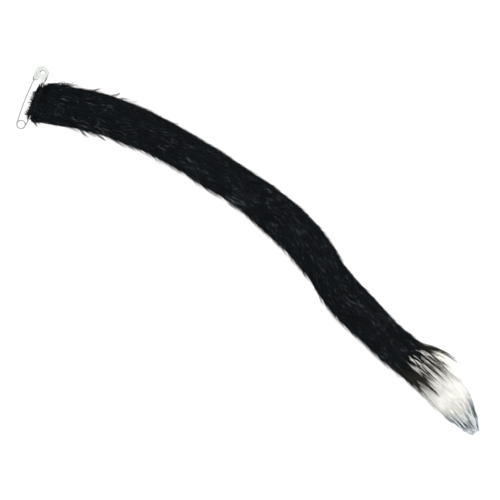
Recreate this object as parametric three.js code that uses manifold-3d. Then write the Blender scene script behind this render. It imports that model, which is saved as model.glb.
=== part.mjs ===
// Costume animal tail: a long black fur sleeve with a white fur tip, worn on a closed safety pin.
// It lies on its underside. Millimetres, +Z up. +Y runs along the pin from its coil to its cap,
// +X runs away from the pin along the tail, and the origin is under the middle of the whole piece.
import * as THREE from "three";
import { mergeVertices } from "three/addons/utils/BufferGeometryUtils.js";
import Module from "manifold-3d";

const wasm = await Module();
wasm.setup();

// Driving sizes of the tail
const SLEEVE_LENGTH = 420; // along the bend, from the hem to the seam
const TIP_LENGTH = 80; // from the seam to the last hair
const FUR_WIDTH = 36; // across the lying pile where it is at its usual fullness
const FUR_HEIGHT = 30; // from the floor to the top of the pile there
const PILE_DEPTH = 4.6; // from the backing to the top of the lying pile
const PRESSED_PILE = 2.2; // the same under the tail, where its weight presses the pile
const FLATTENED = 0.9; // how much of the lowest crests the tail's weight spreads flat
const TAIL_LENGTH = SLEEVE_LENGTH + TIP_LENGTH;

// Driving sizes of the locks that the pile falls into
const BLACK_LOCK_LENGTH = 44;
const BLACK_LOCK_WIDTH = 15;
const BLACK_ROW_PITCH = 26; // along the tail, from one row of locks to the next
const BLACK_LOCKS_AROUND = 9;
const WHITE_LOCK_LENGTH = 32;
const WHITE_LOCK_WIDTH = 12;
const WHITE_ROW_PITCH = 15;
const WHITE_LOCKS_AROUND = 8;
const WISP_LENGTH = 40; // the last black locks, which trail over the white
const WISP_WIDTH = 7;
const LOCK_LEAN = 0.16; // how far a lock turns round the tail at most, in radians

// How much locks differ: their roots and places as shares of a row's pitch and of a place, their
// lengths as a share of the usual one
const ROOT_SCATTER = 0.3;
const PLACE_SCATTER = 0.15;
const LENGTH_SCATTER = 0.12;

// Driving sizes of the safety pin
const WIRE_DIAMETER = 1.1;
const COIL_RADIUS = 3.6; // to the middle of the wire
const COIL_PITCH = 1.4; // the wire's rise in one turn of the coil
const PIN_ARM_REACH = 46.5; // from the coil's centre to the sharp end
const PIN_ARM_BOW = 2.1; // how far the closed pin arm bends outwards
const BACK_ARM_BOW = 0.9;
const POINT_LENGTH = 5; // the ground taper at the sharp end
const PIN_HEIGHT = 10; // from the floor to the plane of the pin

// Driving sizes of the pin's folded sheet cap
const SHEET = 0.45;
const CAP_WIDTH = 11.6;
const CAP_LEFT = -3.8; // the back edge, counted across the pin from the coil's centre
const CAP_LENGTH = 13.8; // from its mouth, where the back arm enters, to its top
const GUARD_COVER = 6.3; // how much of the pin arm reaches in past the mouth
const GUARD_DROP = 0.8; // how far the guard's point hangs below the mouth
const GUARD_SHOULDER = 3.2; // from the mouth up to where the guard leg reaches its full width
const BACK_LEG_WIDTH = 4.7;
const BACK_ARM_IN_CAP_LENGTH = 8;
const NOTCH_RISE = 5; // how far the notch between the two legs is cut up
const WINDOW_RADIUS = 2.8;
const WINDOW_SHIFT = 0.6; // the window's middle, off the cap's middle towards the guard
const WINDOW_SILL = 0.9; // how far the window's foot dips in its middle

// Where the sleeve sits on the pin
const HEM_OFFSET = 1.9; // from the coil's centre line to the sewn end
const HEM_ALONG_PIN = 20.5; // the middle of the sewn end, along the pin from the coil's centre
const HEM_TURN_LENGTH = 32; // over which the slanted end turns square to the tail
const HEM_MARGIN = 2; // from a sewn edge to the roots of its first locks

const CLEARANCE = 0.3; // between neighbouring pieces

// The tail from hem to last hair. at is a share of TAIL_LENGTH, heading is the way it lies in
// degrees from +X, and width, height and pile are shares of FUR_WIDTH, FUR_HEIGHT and PILE_DEPTH.
const SECTIONS = [
  { at: 0.0, heading: 15, width: 0.6, height: 0.36, pile: 0.25 },
  { at: 0.012, heading: 15, width: 0.94, height: 0.42, pile: 0.35 },
  { at: 0.05, heading: 13, width: 1.0, height: 0.72, pile: 0.8 },
  { at: 0.1, heading: 7, width: 1.02, height: 0.95, pile: 1.0 },
  { at: 0.16, heading: -1, width: 1.0, height: 1.0, pile: 1.0 },
  { at: 0.25, heading: -9, width: 0.96, height: 1.0, pile: 1.0 },
  { at: 0.33, heading: -13, width: 0.95, height: 0.98, pile: 1.0 },
  { at: 0.4, heading: -14, width: 0.93, height: 0.96, pile: 1.0 },
  { at: 0.45, heading: -19, width: 1.0, height: 1.0, pile: 1.0 },
  { at: 0.5, heading: -22, width: 1.04, height: 1.02, pile: 1.0 },
  { at: 0.56, heading: -32, width: 1.0, height: 1.0, pile: 1.0 },
  { at: 0.615, heading: -39, width: 0.93, height: 0.96, pile: 1.0 },
  { at: 0.65, heading: -31, width: 0.98, height: 0.98, pile: 1.0 },
  { at: 0.7, heading: -25, width: 1.01, height: 1.0, pile: 1.0 },
  { at: 0.76, heading: -24, width: 0.92, height: 0.94, pile: 1.0 },
  { at: 0.81, heading: -18, width: 0.95, height: 0.92, pile: 1.0 },
  { at: 0.85, heading: -21, width: 1.0, height: 0.9, pile: 1.0 },
  { at: 0.89, heading: -28, width: 1.05, height: 0.82, pile: 1.0 },
  { at: 0.93, heading: -32, width: 0.9, height: 0.68, pile: 1.0 },
  { at: 0.965, heading: -36, width: 0.62, height: 0.5, pile: 0.8 },
  { at: 1.0, heading: -36, width: 0.2, height: 0.24, pile: 0.4 },
];

// One lock from root to end. at is a share of its length, width of its width, and edge and ridge
// are the heights of its two edges and of its crest over the backing, as shares of the pile.
const LOCK_RINGS = [
  { at: 0.0, width: 0.5, edge: -0.6, ridge: -0.15 },
  { at: 0.35, width: 1.0, edge: -0.5, ridge: 0.65 },
  { at: 0.72, width: 0.8, edge: -0.4, ridge: 1.0 },
];
const LOCK_END_LIFT = -0.1;

const CAP_CURVE_STEPS = 8;
const BACKING_SIDES = 18;
const RINGS_PER_SECTION = 2; // of the backing, from each row of SECTIONS to the next
const AXIS_STEPS = 400;
const WIRE_SIDES = 8;
const COIL_STEPS_PER_TURN = 14;
const ARM_STEPS = 8;

const TURN = 2 * Math.PI;
const WIRE_RADIUS = WIRE_DIAMETER / 2;
const SEAM = SLEEVE_LENGTH;
const RING_MARGIN = 4 * CLEARANCE; // the least distance between two rings of the backing

// A column of SECTIONS at a share of the length; headings run straight between rows, sizes ease.
function sectionValue(share, column) {
  const after = SECTIONS.findIndex((row) => row.at >= share);
  const next = SECTIONS[Math.max(after, 1)];
  const last = SECTIONS[Math.max(after, 1) - 1];
  const t = THREE.MathUtils.clamp((share - last.at) / (next.at - last.at), 0, 1);
  const eased = column === "heading" ? t : THREE.MathUtils.smoothstep(t, 0, 1);
  return THREE.MathUtils.lerp(last[column], next[column], eased);
}

// The tail's centre line, walked from the hem in short equal steps along its headings.
function walkAxis() {
  const step = TAIL_LENGTH / AXIS_STEPS;
  const points = [new THREE.Vector2(HEM_OFFSET, HEM_ALONG_PIN)];
  for (let i = 0; i < AXIS_STEPS; i++) {
    const heading = THREE.MathUtils.degToRad(sectionValue((i + 0.5) / AXIS_STEPS, "heading"));
    const ahead = new THREE.Vector2(Math.cos(heading), Math.sin(heading));
    points.push(points[i].clone().addScaledVector(ahead, step));
  }
  return points;
}

const AXIS = walkAxis();

// The tail's section at a distance from the hem: its middle, its sideways direction and the half
// sizes of its backing.
function sectionAt(distance) {
  const along = THREE.MathUtils.clamp(distance / TAIL_LENGTH, 0, 1);
  const index = Math.min(Math.floor(along * AXIS_STEPS), AXIS_STEPS - 1);
  const middle = AXIS[index].clone().lerp(AXIS[index + 1], along * AXIS_STEPS - index);
  const slant = sectionValue(0, "heading") * (1 - Math.min(distance / HEM_TURN_LENGTH, 1));
  const sideways = THREE.MathUtils.degToRad(sectionValue(along, "heading") - slant + 90);
  const pile = sectionValue(along, "pile") * PILE_DEPTH;
  const pressed = sectionValue(along, "pile") * PRESSED_PILE;
  return {
    middle,
    side: new THREE.Vector2(Math.cos(sideways), Math.sin(sideways)),
    halfWidth: (sectionValue(along, "width") * FUR_WIDTH) / 2 - pile,
    halfHeight: (sectionValue(along, "height") * FUR_HEIGHT - pile - pressed) / 2,
    pile,
    pressed,
  };
}

// A point over the backing at a distance from the hem and an angle round it (0 is the tail's left,
// a quarter turn its top). lift counts from the backing in piles, and is less under the tail.
function pileAt(distance, angle, lift) {
  const { middle, side, halfWidth, halfHeight, pile, pressed } = sectionAt(distance);
  const normal = new THREE.Vector2(Math.cos(angle) / halfWidth, Math.sin(angle) / halfHeight);
  normal.normalize();
  const depth = THREE.MathUtils.lerp(pile, lift > 0 ? pressed : pile, Math.max(-normal.y, 0));
  const rise = lift * depth;
  const across = Math.cos(angle) * halfWidth + normal.x * rise;
  const up = pressed - FLATTENED + halfHeight * (1 + Math.sin(angle)) + normal.y * rise;
  return new THREE.Vector3(middle.x + side.x * across, middle.y + side.y * across, up);
}

// A closed geometry through rings of points that run anticlockwise seen from the last ring. A ring
// of one point closes to a sharp end.
function loftGeometry(rings) {
  const positions = rings.flat().flatMap((point) => point.toArray());
  const starts = [0];
  rings.forEach((ring) => starts.push(starts.at(-1) + ring.length));
  const index = [];
  for (let r = 0; r < rings.length - 1; r++) {
    const sides = Math.max(rings[r].length, rings[r + 1].length);
    for (let i = 0; i < sides; i++) {
      const j = (i + 1) % sides;
      const [a, b] = rings[r].length > 1 ? [starts[r] + i, starts[r] + j] : [starts[r], starts[r]];
      const ends = rings[r + 1].length > 1;
      const [c, d] = ends ? [starts[r + 1] + i, starts[r + 1] + j] : [starts[r + 1], starts[r + 1]];
      if (a !== b) index.push(a, b, d);
      if (c !== d || a === b) index.push(a, d, c);
    }
  }
  const fan = (start, count, flip) => {
    for (let i = 1; i < count - 1; i++) {
      index.push(start, start + (flip ? i + 1 : i), start + (flip ? i : i + 1));
    }
  };
  fan(0, rings[0].length, true);
  fan(starts.at(-2), rings.at(-1).length, false);
  const geometry = new THREE.BufferGeometry();
  geometry.setAttribute("position", new THREE.Float32BufferAttribute(positions, 3));
  geometry.setIndex(index);
  return geometry;
}

function solidFrom(geometry) {
  const bare = geometry.clone();
  bare.deleteAttribute("normal");
  bare.deleteAttribute("uv");
  const merged = mergeVertices(bare);
  return new wasm.Manifold(
    new wasm.Mesh({
      numProp: 3,
      vertProperties: new Float32Array(merged.attributes.position.array),
      triVerts: new Uint32Array(merged.index.array),
    }),
  );
}

function joinAll(solids) {
  return solids.reduce((joined, solid) => joined.add(solid));
}

function meshFrom(name, solid, material) {
  const { vertProperties, triVerts } = solid.getMesh();
  const geometry = new THREE.BufferGeometry();
  geometry.setAttribute("position", new THREE.BufferAttribute(vertProperties, 3));
  geometry.setIndex(new THREE.BufferAttribute(triVerts, 1));
  geometry.computeVertexNormals();
  const mesh = new THREE.Mesh(geometry, material);
  mesh.name = name;
  return mesh;
}

// A fixed scatter between -1 and 1, so that neighbouring locks differ. A lock draws a number of its
// own for its length and one for its lean.
const SCATTER_WAVE = { row: 12.99, place: 78.23, height: 437.58 };
const LENGTH_DRAW = 7;
const LEAN_DRAW = 3;

function scatter(row, place) {
  const phase = row * SCATTER_WAVE.row + place * SCATTER_WAVE.place;
  const wave = Math.sin(phase) * SCATTER_WAVE.height;
  return 2 * (wave - Math.floor(wave)) - 1;
}

// The distances of the rows of SECTIONS and of even steps between them, within two limits.
function ringDistances(from, to) {
  const inside = [];
  for (let row = 0; row < SECTIONS.length - 1; row++) {
    for (let step = 0; step < RINGS_PER_SECTION; step++) {
      const share = THREE.MathUtils.lerp(SECTIONS[row].at, SECTIONS[row + 1].at, step / RINGS_PER_SECTION);
      inside.push(share * TAIL_LENGTH);
    }
  }
  return [from, ...inside.filter((d) => d > from + RING_MARGIN && d < to - RING_MARGIN), to];
}

// The sewn cloth tube under the pile, closed at both ends.
function backing(from, to) {
  const rings = ringDistances(from, to).map((distance) =>
    Array.from({ length: BACKING_SIDES }, (_, i) => pileAt(distance, (i / BACKING_SIDES) * TURN, 0)),
  );
  return solidFrom(loftGeometry(rings));
}

// A triangle with each of its sides moved out by a distance.
function widerTriangle(corners, grow) {
  const [a, b, c] = corners;
  const sides = [b.distanceTo(c), c.distanceTo(a), a.distanceTo(b)];
  const around = sides[0] + sides[1] + sides[2];
  const centre = new THREE.Vector3();
  corners.forEach((corner, i) => centre.addScaledVector(corner, sides[i] / around));
  const inradius = (2 * new THREE.Triangle(a, b, c).getArea()) / around;
  return corners.map((corner) => centre.clone().lerp(corner, 1 + grow / inradius));
}

// One lock of pile: a flat wedge that leaves the backing and tapers to a point. grow widens and
// thickens it, for the groove that another piece leaves round it.
function lock({ root, angle, length, width, lean, grow = 0 }) {
  const rings = LOCK_RINGS.map((ring) => {
    const distance = root + ring.at * length;
    const { halfWidth, halfHeight, pile } = sectionAt(distance);
    const radius = (halfWidth + halfHeight) / 2 + pile / 2;
    const spread = Math.min((ring.width * width) / 2, radius) / radius;
    const middle = angle + lean * ring.at;
    const corners = [
      pileAt(distance, middle + spread, ring.edge),
      pileAt(distance, middle - spread, ring.edge),
      pileAt(distance, middle, ring.ridge),
    ];
    return widerTriangle(corners, grow);
  });
  const end = Math.min(root + length + grow, TAIL_LENGTH);
  rings.push([pileAt(end, angle + lean, LOCK_END_LIFT)]);
  return solidFrom(loftGeometry(rings));
}

// Rows of locks between two distances, each row turned half a place from the last. None of them
// reaches past the limit.
function lockRows({ from, to, limit, pitch, around, length, width }) {
  const rows = Math.max(Math.round((to - from) / pitch), 1);
  const places = [];
  for (let row = 0; row < rows; row++) {
    for (let place = 0; place < around; place++) {
      const root = from + ((row + ROOT_SCATTER * Math.abs(scatter(row, place))) / rows) * (to - from);
      places.push({
        root,
        angle: ((place + (row % 2) / 2 + PLACE_SCATTER * scatter(place, row)) / around) * TURN,
        length: Math.min(length * (1 + LENGTH_SCATTER * scatter(row + LENGTH_DRAW, place)), limit - root),
        width,
        lean: LOCK_LEAN * scatter(row, place + LEAN_DRAW),
      });
    }
  }
  return places;
}

// The last black locks, thin and loose over the white tip.
const WISPS = lockRows({
  from: SEAM - WISP_LENGTH / 2,
  to: SEAM - WISP_LENGTH / 4,
  limit: TAIL_LENGTH,
  pitch: WISP_LENGTH,
  around: WHITE_LOCKS_AROUND,
  length: WISP_LENGTH,
  width: WISP_WIDTH,
});

// The cap's own layout, then where the two arms lie in it and how they leave the coil.
const CAP_MOUTH = PIN_ARM_REACH - GUARD_COVER;
const CAP_TOP = CAP_MOUTH + CAP_LENGTH;
const CAP_RIGHT = CAP_LEFT + CAP_WIDTH;
const CAP_MIDDLE = CAP_LEFT + CAP_WIDTH / 2;
const ARCH_RADIUS = CAP_WIDTH / 2;
const ARCH_FOOT = CAP_TOP - ARCH_RADIUS;
const GUARD_POINT = CAP_MOUTH - GUARD_DROP;
const BACK_ARM_IN_CAP = CAP_LEFT + SHEET + CLEARANCE + WIRE_RADIUS;
const PIN_ARM_IN_CAP = CAP_RIGHT - SHEET - WIRE_DIAMETER - WIRE_RADIUS;
const PIN_ARM_LEAN = (PIN_ARM_IN_CAP - COIL_RADIUS + Math.PI * PIN_ARM_BOW) / PIN_ARM_REACH;
const BACK_ARM_LEAN = (BACK_ARM_IN_CAP + COIL_RADIUS - Math.PI * BACK_ARM_BOW) / CAP_MOUTH;
const COIL_START = Math.PI - Math.atan(BACK_ARM_LEAN);
const COIL_END = 2 * TURN - Math.atan(PIN_ARM_LEAN);
const COIL_TURNS = (COIL_END - COIL_START) / TURN;
const COIL_HALF_RISE = (COIL_TURNS * COIL_PITCH) / 2;

// How far across the pin each arm lies, at a distance along it from the coil's centre.
function pinArmAcross(along) {
  const share = along / PIN_ARM_REACH;
  const straight = THREE.MathUtils.lerp(COIL_RADIUS, PIN_ARM_IN_CAP, share);
  return straight + PIN_ARM_BOW * Math.sin(Math.PI * share);
}

function backArmAcross(along) {
  const share = Math.min(along / CAP_MOUTH, 1);
  const straight = THREE.MathUtils.lerp(-COIL_RADIUS, BACK_ARM_IN_CAP, share);
  return straight - BACK_ARM_BOW * Math.sin(Math.PI * share);
}

// The arms leave the coil at its two ends and meet the plane of the pin at the cap's mouth.
function riseAt(along) {
  return COIL_HALF_RISE * Math.max(1 - along / CAP_MOUTH, 0);
}

function backArmPath() {
  const end = CAP_MOUTH + BACK_ARM_IN_CAP_LENGTH;
  return Array.from({ length: ARM_STEPS }, (_, i) => {
    const along = end * (1 - i / ARM_STEPS);
    return new THREE.Vector3(backArmAcross(along), along, PIN_HEIGHT + riseAt(along));
  });
}

function coilPath() {
  const steps = Math.round(COIL_TURNS * COIL_STEPS_PER_TURN);
  return Array.from({ length: steps + 1 }, (_, i) => {
    const angle = THREE.MathUtils.lerp(COIL_START, COIL_END, i / steps);
    const rise = COIL_HALF_RISE * (1 - (2 * i) / steps);
    const across = COIL_RADIUS * Math.cos(angle);
    const along = COIL_RADIUS * Math.sin(angle);
    return new THREE.Vector3(across, along, PIN_HEIGHT + rise);
  });
}

function pinArmPath() {
  const shank = PIN_ARM_REACH - POINT_LENGTH;
  const places = Array.from({ length: ARM_STEPS }, (_, i) => (shank * (i + 1)) / ARM_STEPS);
  return [...places, PIN_ARM_REACH].map(
    (along) => new THREE.Vector3(pinArmAcross(along), along, PIN_HEIGHT - riseAt(along)),
  );
}

// A round bar along a list of points, which can close to a sharp end.
function bar(points, radius, sharp) {
  const rings = points.map((centre, i) => {
    if (sharp && i === points.length - 1) return [centre];
    const before = points[Math.max(i - 1, 0)];
    const after = points[Math.min(i + 1, points.length - 1)];
    const ahead = after.clone().sub(before).normalize();
    const across = new THREE.Vector3(0, 0, 1).cross(ahead).normalize();
    const over = ahead.clone().cross(across);
    return Array.from({ length: WIRE_SIDES }, (_, k) => {
      const angle = (k / WIRE_SIDES) * TURN;
      return centre
        .clone()
        .addScaledVector(across, Math.cos(angle) * radius)
        .addScaledVector(over, Math.sin(angle) * radius);
    });
  });
  return solidFrom(loftGeometry(rings));
}

// A flat shape across and along the pin, made solid between two heights.
function slab(shape, low, high) {
  const depth = high - low;
  const settings = { depth, bevelEnabled: false, curveSegments: CAP_CURVE_STEPS };
  return solidFrom(new THREE.ExtrudeGeometry(shape, settings).translate(0, 0, low));
}

// The arch of the cap with straight sides, drawn in from its edge and down to a distance along.
function archShape(inset, foot) {
  const shape = new THREE.Shape();
  shape.moveTo(CAP_LEFT + inset, foot);
  shape.lineTo(CAP_RIGHT - inset, foot);
  shape.lineTo(CAP_RIGHT - inset, ARCH_FOOT);
  shape.absarc(CAP_MIDDLE, ARCH_FOOT, ARCH_RADIUS - inset, 0, Math.PI, false);
  shape.closePath();
  return shape;
}

// The cap seen flat: an arch with a rounded back leg and a pointed guard leg, and a notch between.
function capShape() {
  const notchAcross = CAP_LEFT + BACK_LEG_WIDTH;
  const shape = new THREE.Shape();
  shape.moveTo(pinArmAcross(GUARD_POINT), GUARD_POINT);
  shape.lineTo(CAP_RIGHT, CAP_MOUTH + GUARD_SHOULDER);
  shape.lineTo(CAP_RIGHT, ARCH_FOOT);
  shape.absarc(CAP_MIDDLE, ARCH_FOOT, ARCH_RADIUS, 0, Math.PI, false);
  shape.lineTo(CAP_LEFT, CAP_MOUTH);
  shape.lineTo(CAP_LEFT + BACK_LEG_WIDTH / 2, CAP_MOUTH);
  shape.quadraticCurveTo(notchAcross, CAP_MOUTH, notchAcross, CAP_MOUTH + NOTCH_RISE);
  shape.closePath();
  return shape;
}

// The open face of the cap: an arched window over the guard leg.
function windowShape() {
  const middle = CAP_MIDDLE + WINDOW_SHIFT;
  const shape = new THREE.Shape();
  shape.moveTo(middle + WINDOW_RADIUS, ARCH_FOOT);
  shape.absarc(middle, ARCH_FOOT, WINDOW_RADIUS, 0, Math.PI, false);
  shape.lineTo(middle, ARCH_FOOT - WINDOW_SILL);
  shape.closePath();
  return shape;
}

function pinCap() {
  const inside = WIRE_RADIUS + CLEARANCE;
  const outside = inside + SHEET;
  return slab(capShape(), PIN_HEIGHT - outside, PIN_HEIGHT + outside)
    .subtract(slab(archShape(SHEET, GUARD_POINT - SHEET), PIN_HEIGHT - inside, PIN_HEIGHT + inside))
    .subtract(slab(windowShape(), PIN_HEIGHT, PIN_HEIGHT + outside + SHEET));
}

function pinWire(clearance = 0) {
  const path = [...backArmPath(), ...coilPath(), ...pinArmPath()];
  return bar(path, WIRE_RADIUS + clearance, clearance === 0);
}

// What the safety pin pushes the fur aside from: its wire and its cap, with clearance round them.
function pinRoom() {
  const half = WIRE_RADIUS + SHEET + 2 * CLEARANCE;
  const capRoom = archShape(-CLEARANCE, GUARD_POINT - CLEARANCE);
  return pinWire(CLEARANCE).add(slab(capRoom, PIN_HEIGHT - half, PIN_HEIGHT + half));
}

// Everything below the surface that the tail lies on.
function underFloor() {
  const side = 4 * TAIL_LENGTH;
  return solidFrom(new THREE.BoxGeometry(side, side, FUR_HEIGHT).translate(0, 0, -FUR_HEIGHT / 2));
}

function blackSleeve() {
  const locks = lockRows({
    from: HEM_MARGIN,
    to: SEAM - BLACK_LOCK_LENGTH / 2,
    limit: SEAM,
    pitch: BLACK_ROW_PITCH,
    around: BLACK_LOCKS_AROUND,
    length: BLACK_LOCK_LENGTH,
    width: BLACK_LOCK_WIDTH,
  });
  return joinAll([backing(0, SEAM), ...locks.map(lock), ...WISPS.map(lock)])
    .subtract(underFloor())
    .subtract(pinRoom());
}

function whiteTip() {
  const locks = lockRows({
    from: SEAM + HEM_MARGIN,
    to: TAIL_LENGTH - WHITE_LOCK_LENGTH / 2,
    limit: TAIL_LENGTH,
    pitch: WHITE_ROW_PITCH,
    around: WHITE_LOCKS_AROUND,
    length: WHITE_LOCK_LENGTH,
    width: WHITE_LOCK_WIDTH,
  });
  const wispRoom = joinAll(WISPS.map((wisp) => lock({ ...wisp, grow: CLEARANCE })));
  return joinAll([backing(SEAM + CLEARANCE, TAIL_LENGTH), ...locks.map(lock)])
    .subtract(underFloor())
    .subtract(wispRoom);
}

const blackFur = new THREE.MeshStandardMaterial({ color: 0x17191c, roughness: 0.85, metalness: 0 });
const whiteFur = new THREE.MeshStandardMaterial({ color: 0xe4e3da, roughness: 0.85, metalness: 0 });
const pinSteel = new THREE.MeshStandardMaterial({ color: 0xc8cac8, roughness: 0.25, metalness: 1 });

const laid = new THREE.Group();
laid.add(
  meshFrom("black_fur_sleeve", blackSleeve(), blackFur),
  meshFrom("white_fur_tip", whiteTip(), whiteFur),
  meshFrom("pin_wire", pinWire(), pinSteel),
  meshFrom("pin_cap", pinCap(), pinSteel),
);
const bounds = new THREE.Box3().setFromObject(laid);
const middle = bounds.getCenter(new THREE.Vector3());
laid.position.set(-middle.x, -middle.y, -bounds.min.z);

const tail = new THREE.Group();
tail.add(laid);

export default tail;
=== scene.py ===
"""Looks of a costume animal tail: black long-pile fur, a white fur tip and a closed safety pin.

The tail lies on its underside on a plain pale floor and is seen from straight above. Lengths are
millimetres in the part's own frame, and become metres when a mesh is written.
"""

import logging
import math
from dataclasses import dataclass, field
from enum import Enum

import bmesh
import bpy
import numpy as np
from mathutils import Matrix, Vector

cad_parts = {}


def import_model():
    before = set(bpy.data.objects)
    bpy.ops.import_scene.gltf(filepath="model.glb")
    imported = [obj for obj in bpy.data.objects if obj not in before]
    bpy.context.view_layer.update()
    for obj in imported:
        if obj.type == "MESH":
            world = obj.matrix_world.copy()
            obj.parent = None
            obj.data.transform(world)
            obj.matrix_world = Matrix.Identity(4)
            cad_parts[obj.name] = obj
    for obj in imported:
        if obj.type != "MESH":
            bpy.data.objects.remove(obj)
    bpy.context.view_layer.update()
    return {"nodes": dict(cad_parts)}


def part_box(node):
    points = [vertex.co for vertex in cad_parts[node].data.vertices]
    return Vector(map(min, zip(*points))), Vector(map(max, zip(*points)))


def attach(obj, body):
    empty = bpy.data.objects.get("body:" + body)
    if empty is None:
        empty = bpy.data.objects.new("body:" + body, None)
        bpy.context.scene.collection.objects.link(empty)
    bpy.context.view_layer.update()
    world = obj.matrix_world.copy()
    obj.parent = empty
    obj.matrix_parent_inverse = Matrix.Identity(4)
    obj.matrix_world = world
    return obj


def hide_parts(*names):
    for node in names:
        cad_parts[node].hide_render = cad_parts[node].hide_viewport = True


LOG = logging.getLogger("costume_tail")
METRES = 0.001
TURN = 2 * math.pi
SEED = 20
BLACK_STRETCHES = 4  # of the black pile, in one mesh each
STRAND_SIDES = 3
STRAND_GRID = 140  # cells on each side of the strands' map, one cell for a strand
MAP_NAME = "OFBake"
GREYING_NAME = "greying"
TONE_NAME = "tuft_tone"
DRAW_NAME = "strand_draw"
NONE, FULL = "#000000", "#FFFFFF"
LOW, HIGH, TO_LOW, TO_HIGH = 1, 2, 3, 4  # inputs of a Map Range node
FIRST, SECOND = 6, 7  # the colours of a Mix node


def linear(hex_colour: str) -> tuple[float, float, float, float]:
    """Turns an sRGB hex colour into linear red, green, blue and alpha.

    Args:
        hex_colour: six hex digits after a hash.

    Returns:
        The four linear values.
    """
    parts = [int(hex_colour[i : i + 2], 16) / 255 for i in (1, 3, 5)]
    red, green, blue = (
        part / 12.92 if part <= 0.04045 else ((part + 0.055) / 1.055) ** 2.4 for part in parts
    )
    return (red, green, blue, 1.0)


def scale_for(size: float) -> float:
    """Gives the texture scale in metres whose features are about a size in millimetres."""
    return 1 / (size * METRES)


def add_node(
    tree: bpy.types.NodeTree,
    kind: str,
    settings: dict[str | int, object] | None = None,
    links: dict[str | int, bpy.types.Node | bpy.types.NodeSocket] | None = None,
    stops: tuple[tuple[float, str], ...] = (),
) -> bpy.types.Node:
    """Adds a node with its settings and links.

    Args:
        tree: the node tree that it goes in.
        kind: the shader node's type.
        settings: values by the name of an attribute, or by the name or number of an input.
        links: what feeds an input, by its name or number: a socket, or a node for its first one.
        stops: places and hex colours along the node's ramp, if it has one.

    Returns:
        The new node.
    """
    node = tree.nodes.new(f"ShaderNode{kind}")
    for name, value in (settings or {}).items():
        if isinstance(name, str) and hasattr(node, name):
            setattr(node, name, value)
        else:
            node.inputs[name].default_value = value
    for name, source in (links or {}).items():
        if isinstance(source, bpy.types.Node):
            source = next(socket for socket in source.outputs if socket.enabled)
        tree.links.new(source, node.inputs[name])
    if stops:
        ramp = node.color_ramp.elements
        ramp.remove(ramp[1])
        ramp[0].position, ramp[0].color = stops[0][0], linear(stops[0][1])
        for place, colour in stops[1:]:
            ramp.new(place).color = linear(colour)
    return node


@dataclass(frozen=True)
class Finish:
    """What every finish of the tail has in common."""

    name: str

    def shader(self, tree: bpy.types.NodeTree) -> bpy.types.Node:
        """Adds the finish's nodes to a tree and gives the last one."""
        raise NotImplementedError

    def material(self) -> bpy.types.Material:
        """Makes the material.

        Returns:
            The material, named for the finish.
        """
        material = bpy.data.materials.new(self.name)
        material.use_nodes = True
        tree = material.node_tree
        tree.nodes.clear()
        add_node(tree, "OutputMaterial", links={"Surface": self.shader(tree)})
        return material


@dataclass(frozen=True)
class Section:
    """One row of the tail's shape, in shares of its length, width, height and pile."""

    at: float
    heading: float
    width: float
    height: float
    pile: float


SECTIONS = (
    Section(at=0.0, heading=15, width=0.6, height=0.36, pile=0.25),
    Section(at=0.012, heading=15, width=0.94, height=0.42, pile=0.35),
    Section(at=0.05, heading=13, width=1.0, height=0.72, pile=0.8),
    Section(at=0.1, heading=7, width=1.02, height=0.95, pile=1.0),
    Section(at=0.16, heading=-1, width=1.0, height=1.0, pile=1.0),
    Section(at=0.25, heading=-9, width=0.96, height=1.0, pile=1.0),
    Section(at=0.33, heading=-13, width=0.95, height=0.98, pile=1.0),
    Section(at=0.4, heading=-14, width=0.93, height=0.96, pile=1.0),
    Section(at=0.45, heading=-19, width=1.0, height=1.0, pile=1.0),
    Section(at=0.5, heading=-22, width=1.04, height=1.02, pile=1.0),
    Section(at=0.56, heading=-32, width=1.0, height=1.0, pile=1.0),
    Section(at=0.615, heading=-39, width=0.93, height=0.96, pile=1.0),
    Section(at=0.65, heading=-31, width=0.98, height=0.98, pile=1.0),
    Section(at=0.7, heading=-25, width=1.01, height=1.0, pile=1.0),
    Section(at=0.76, heading=-24, width=0.92, height=0.94, pile=1.0),
    Section(at=0.81, heading=-18, width=0.95, height=0.92, pile=1.0),
    Section(at=0.85, heading=-21, width=1.0, height=0.9, pile=1.0),
    Section(at=0.89, heading=-28, width=1.05, height=0.82, pile=1.0),
    Section(at=0.93, heading=-32, width=0.9, height=0.68, pile=1.0),
    Section(at=0.965, heading=-36, width=0.62, height=0.5, pile=0.8),
    Section(at=1.0, heading=-36, width=0.2, height=0.24, pile=0.4),
)


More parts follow.
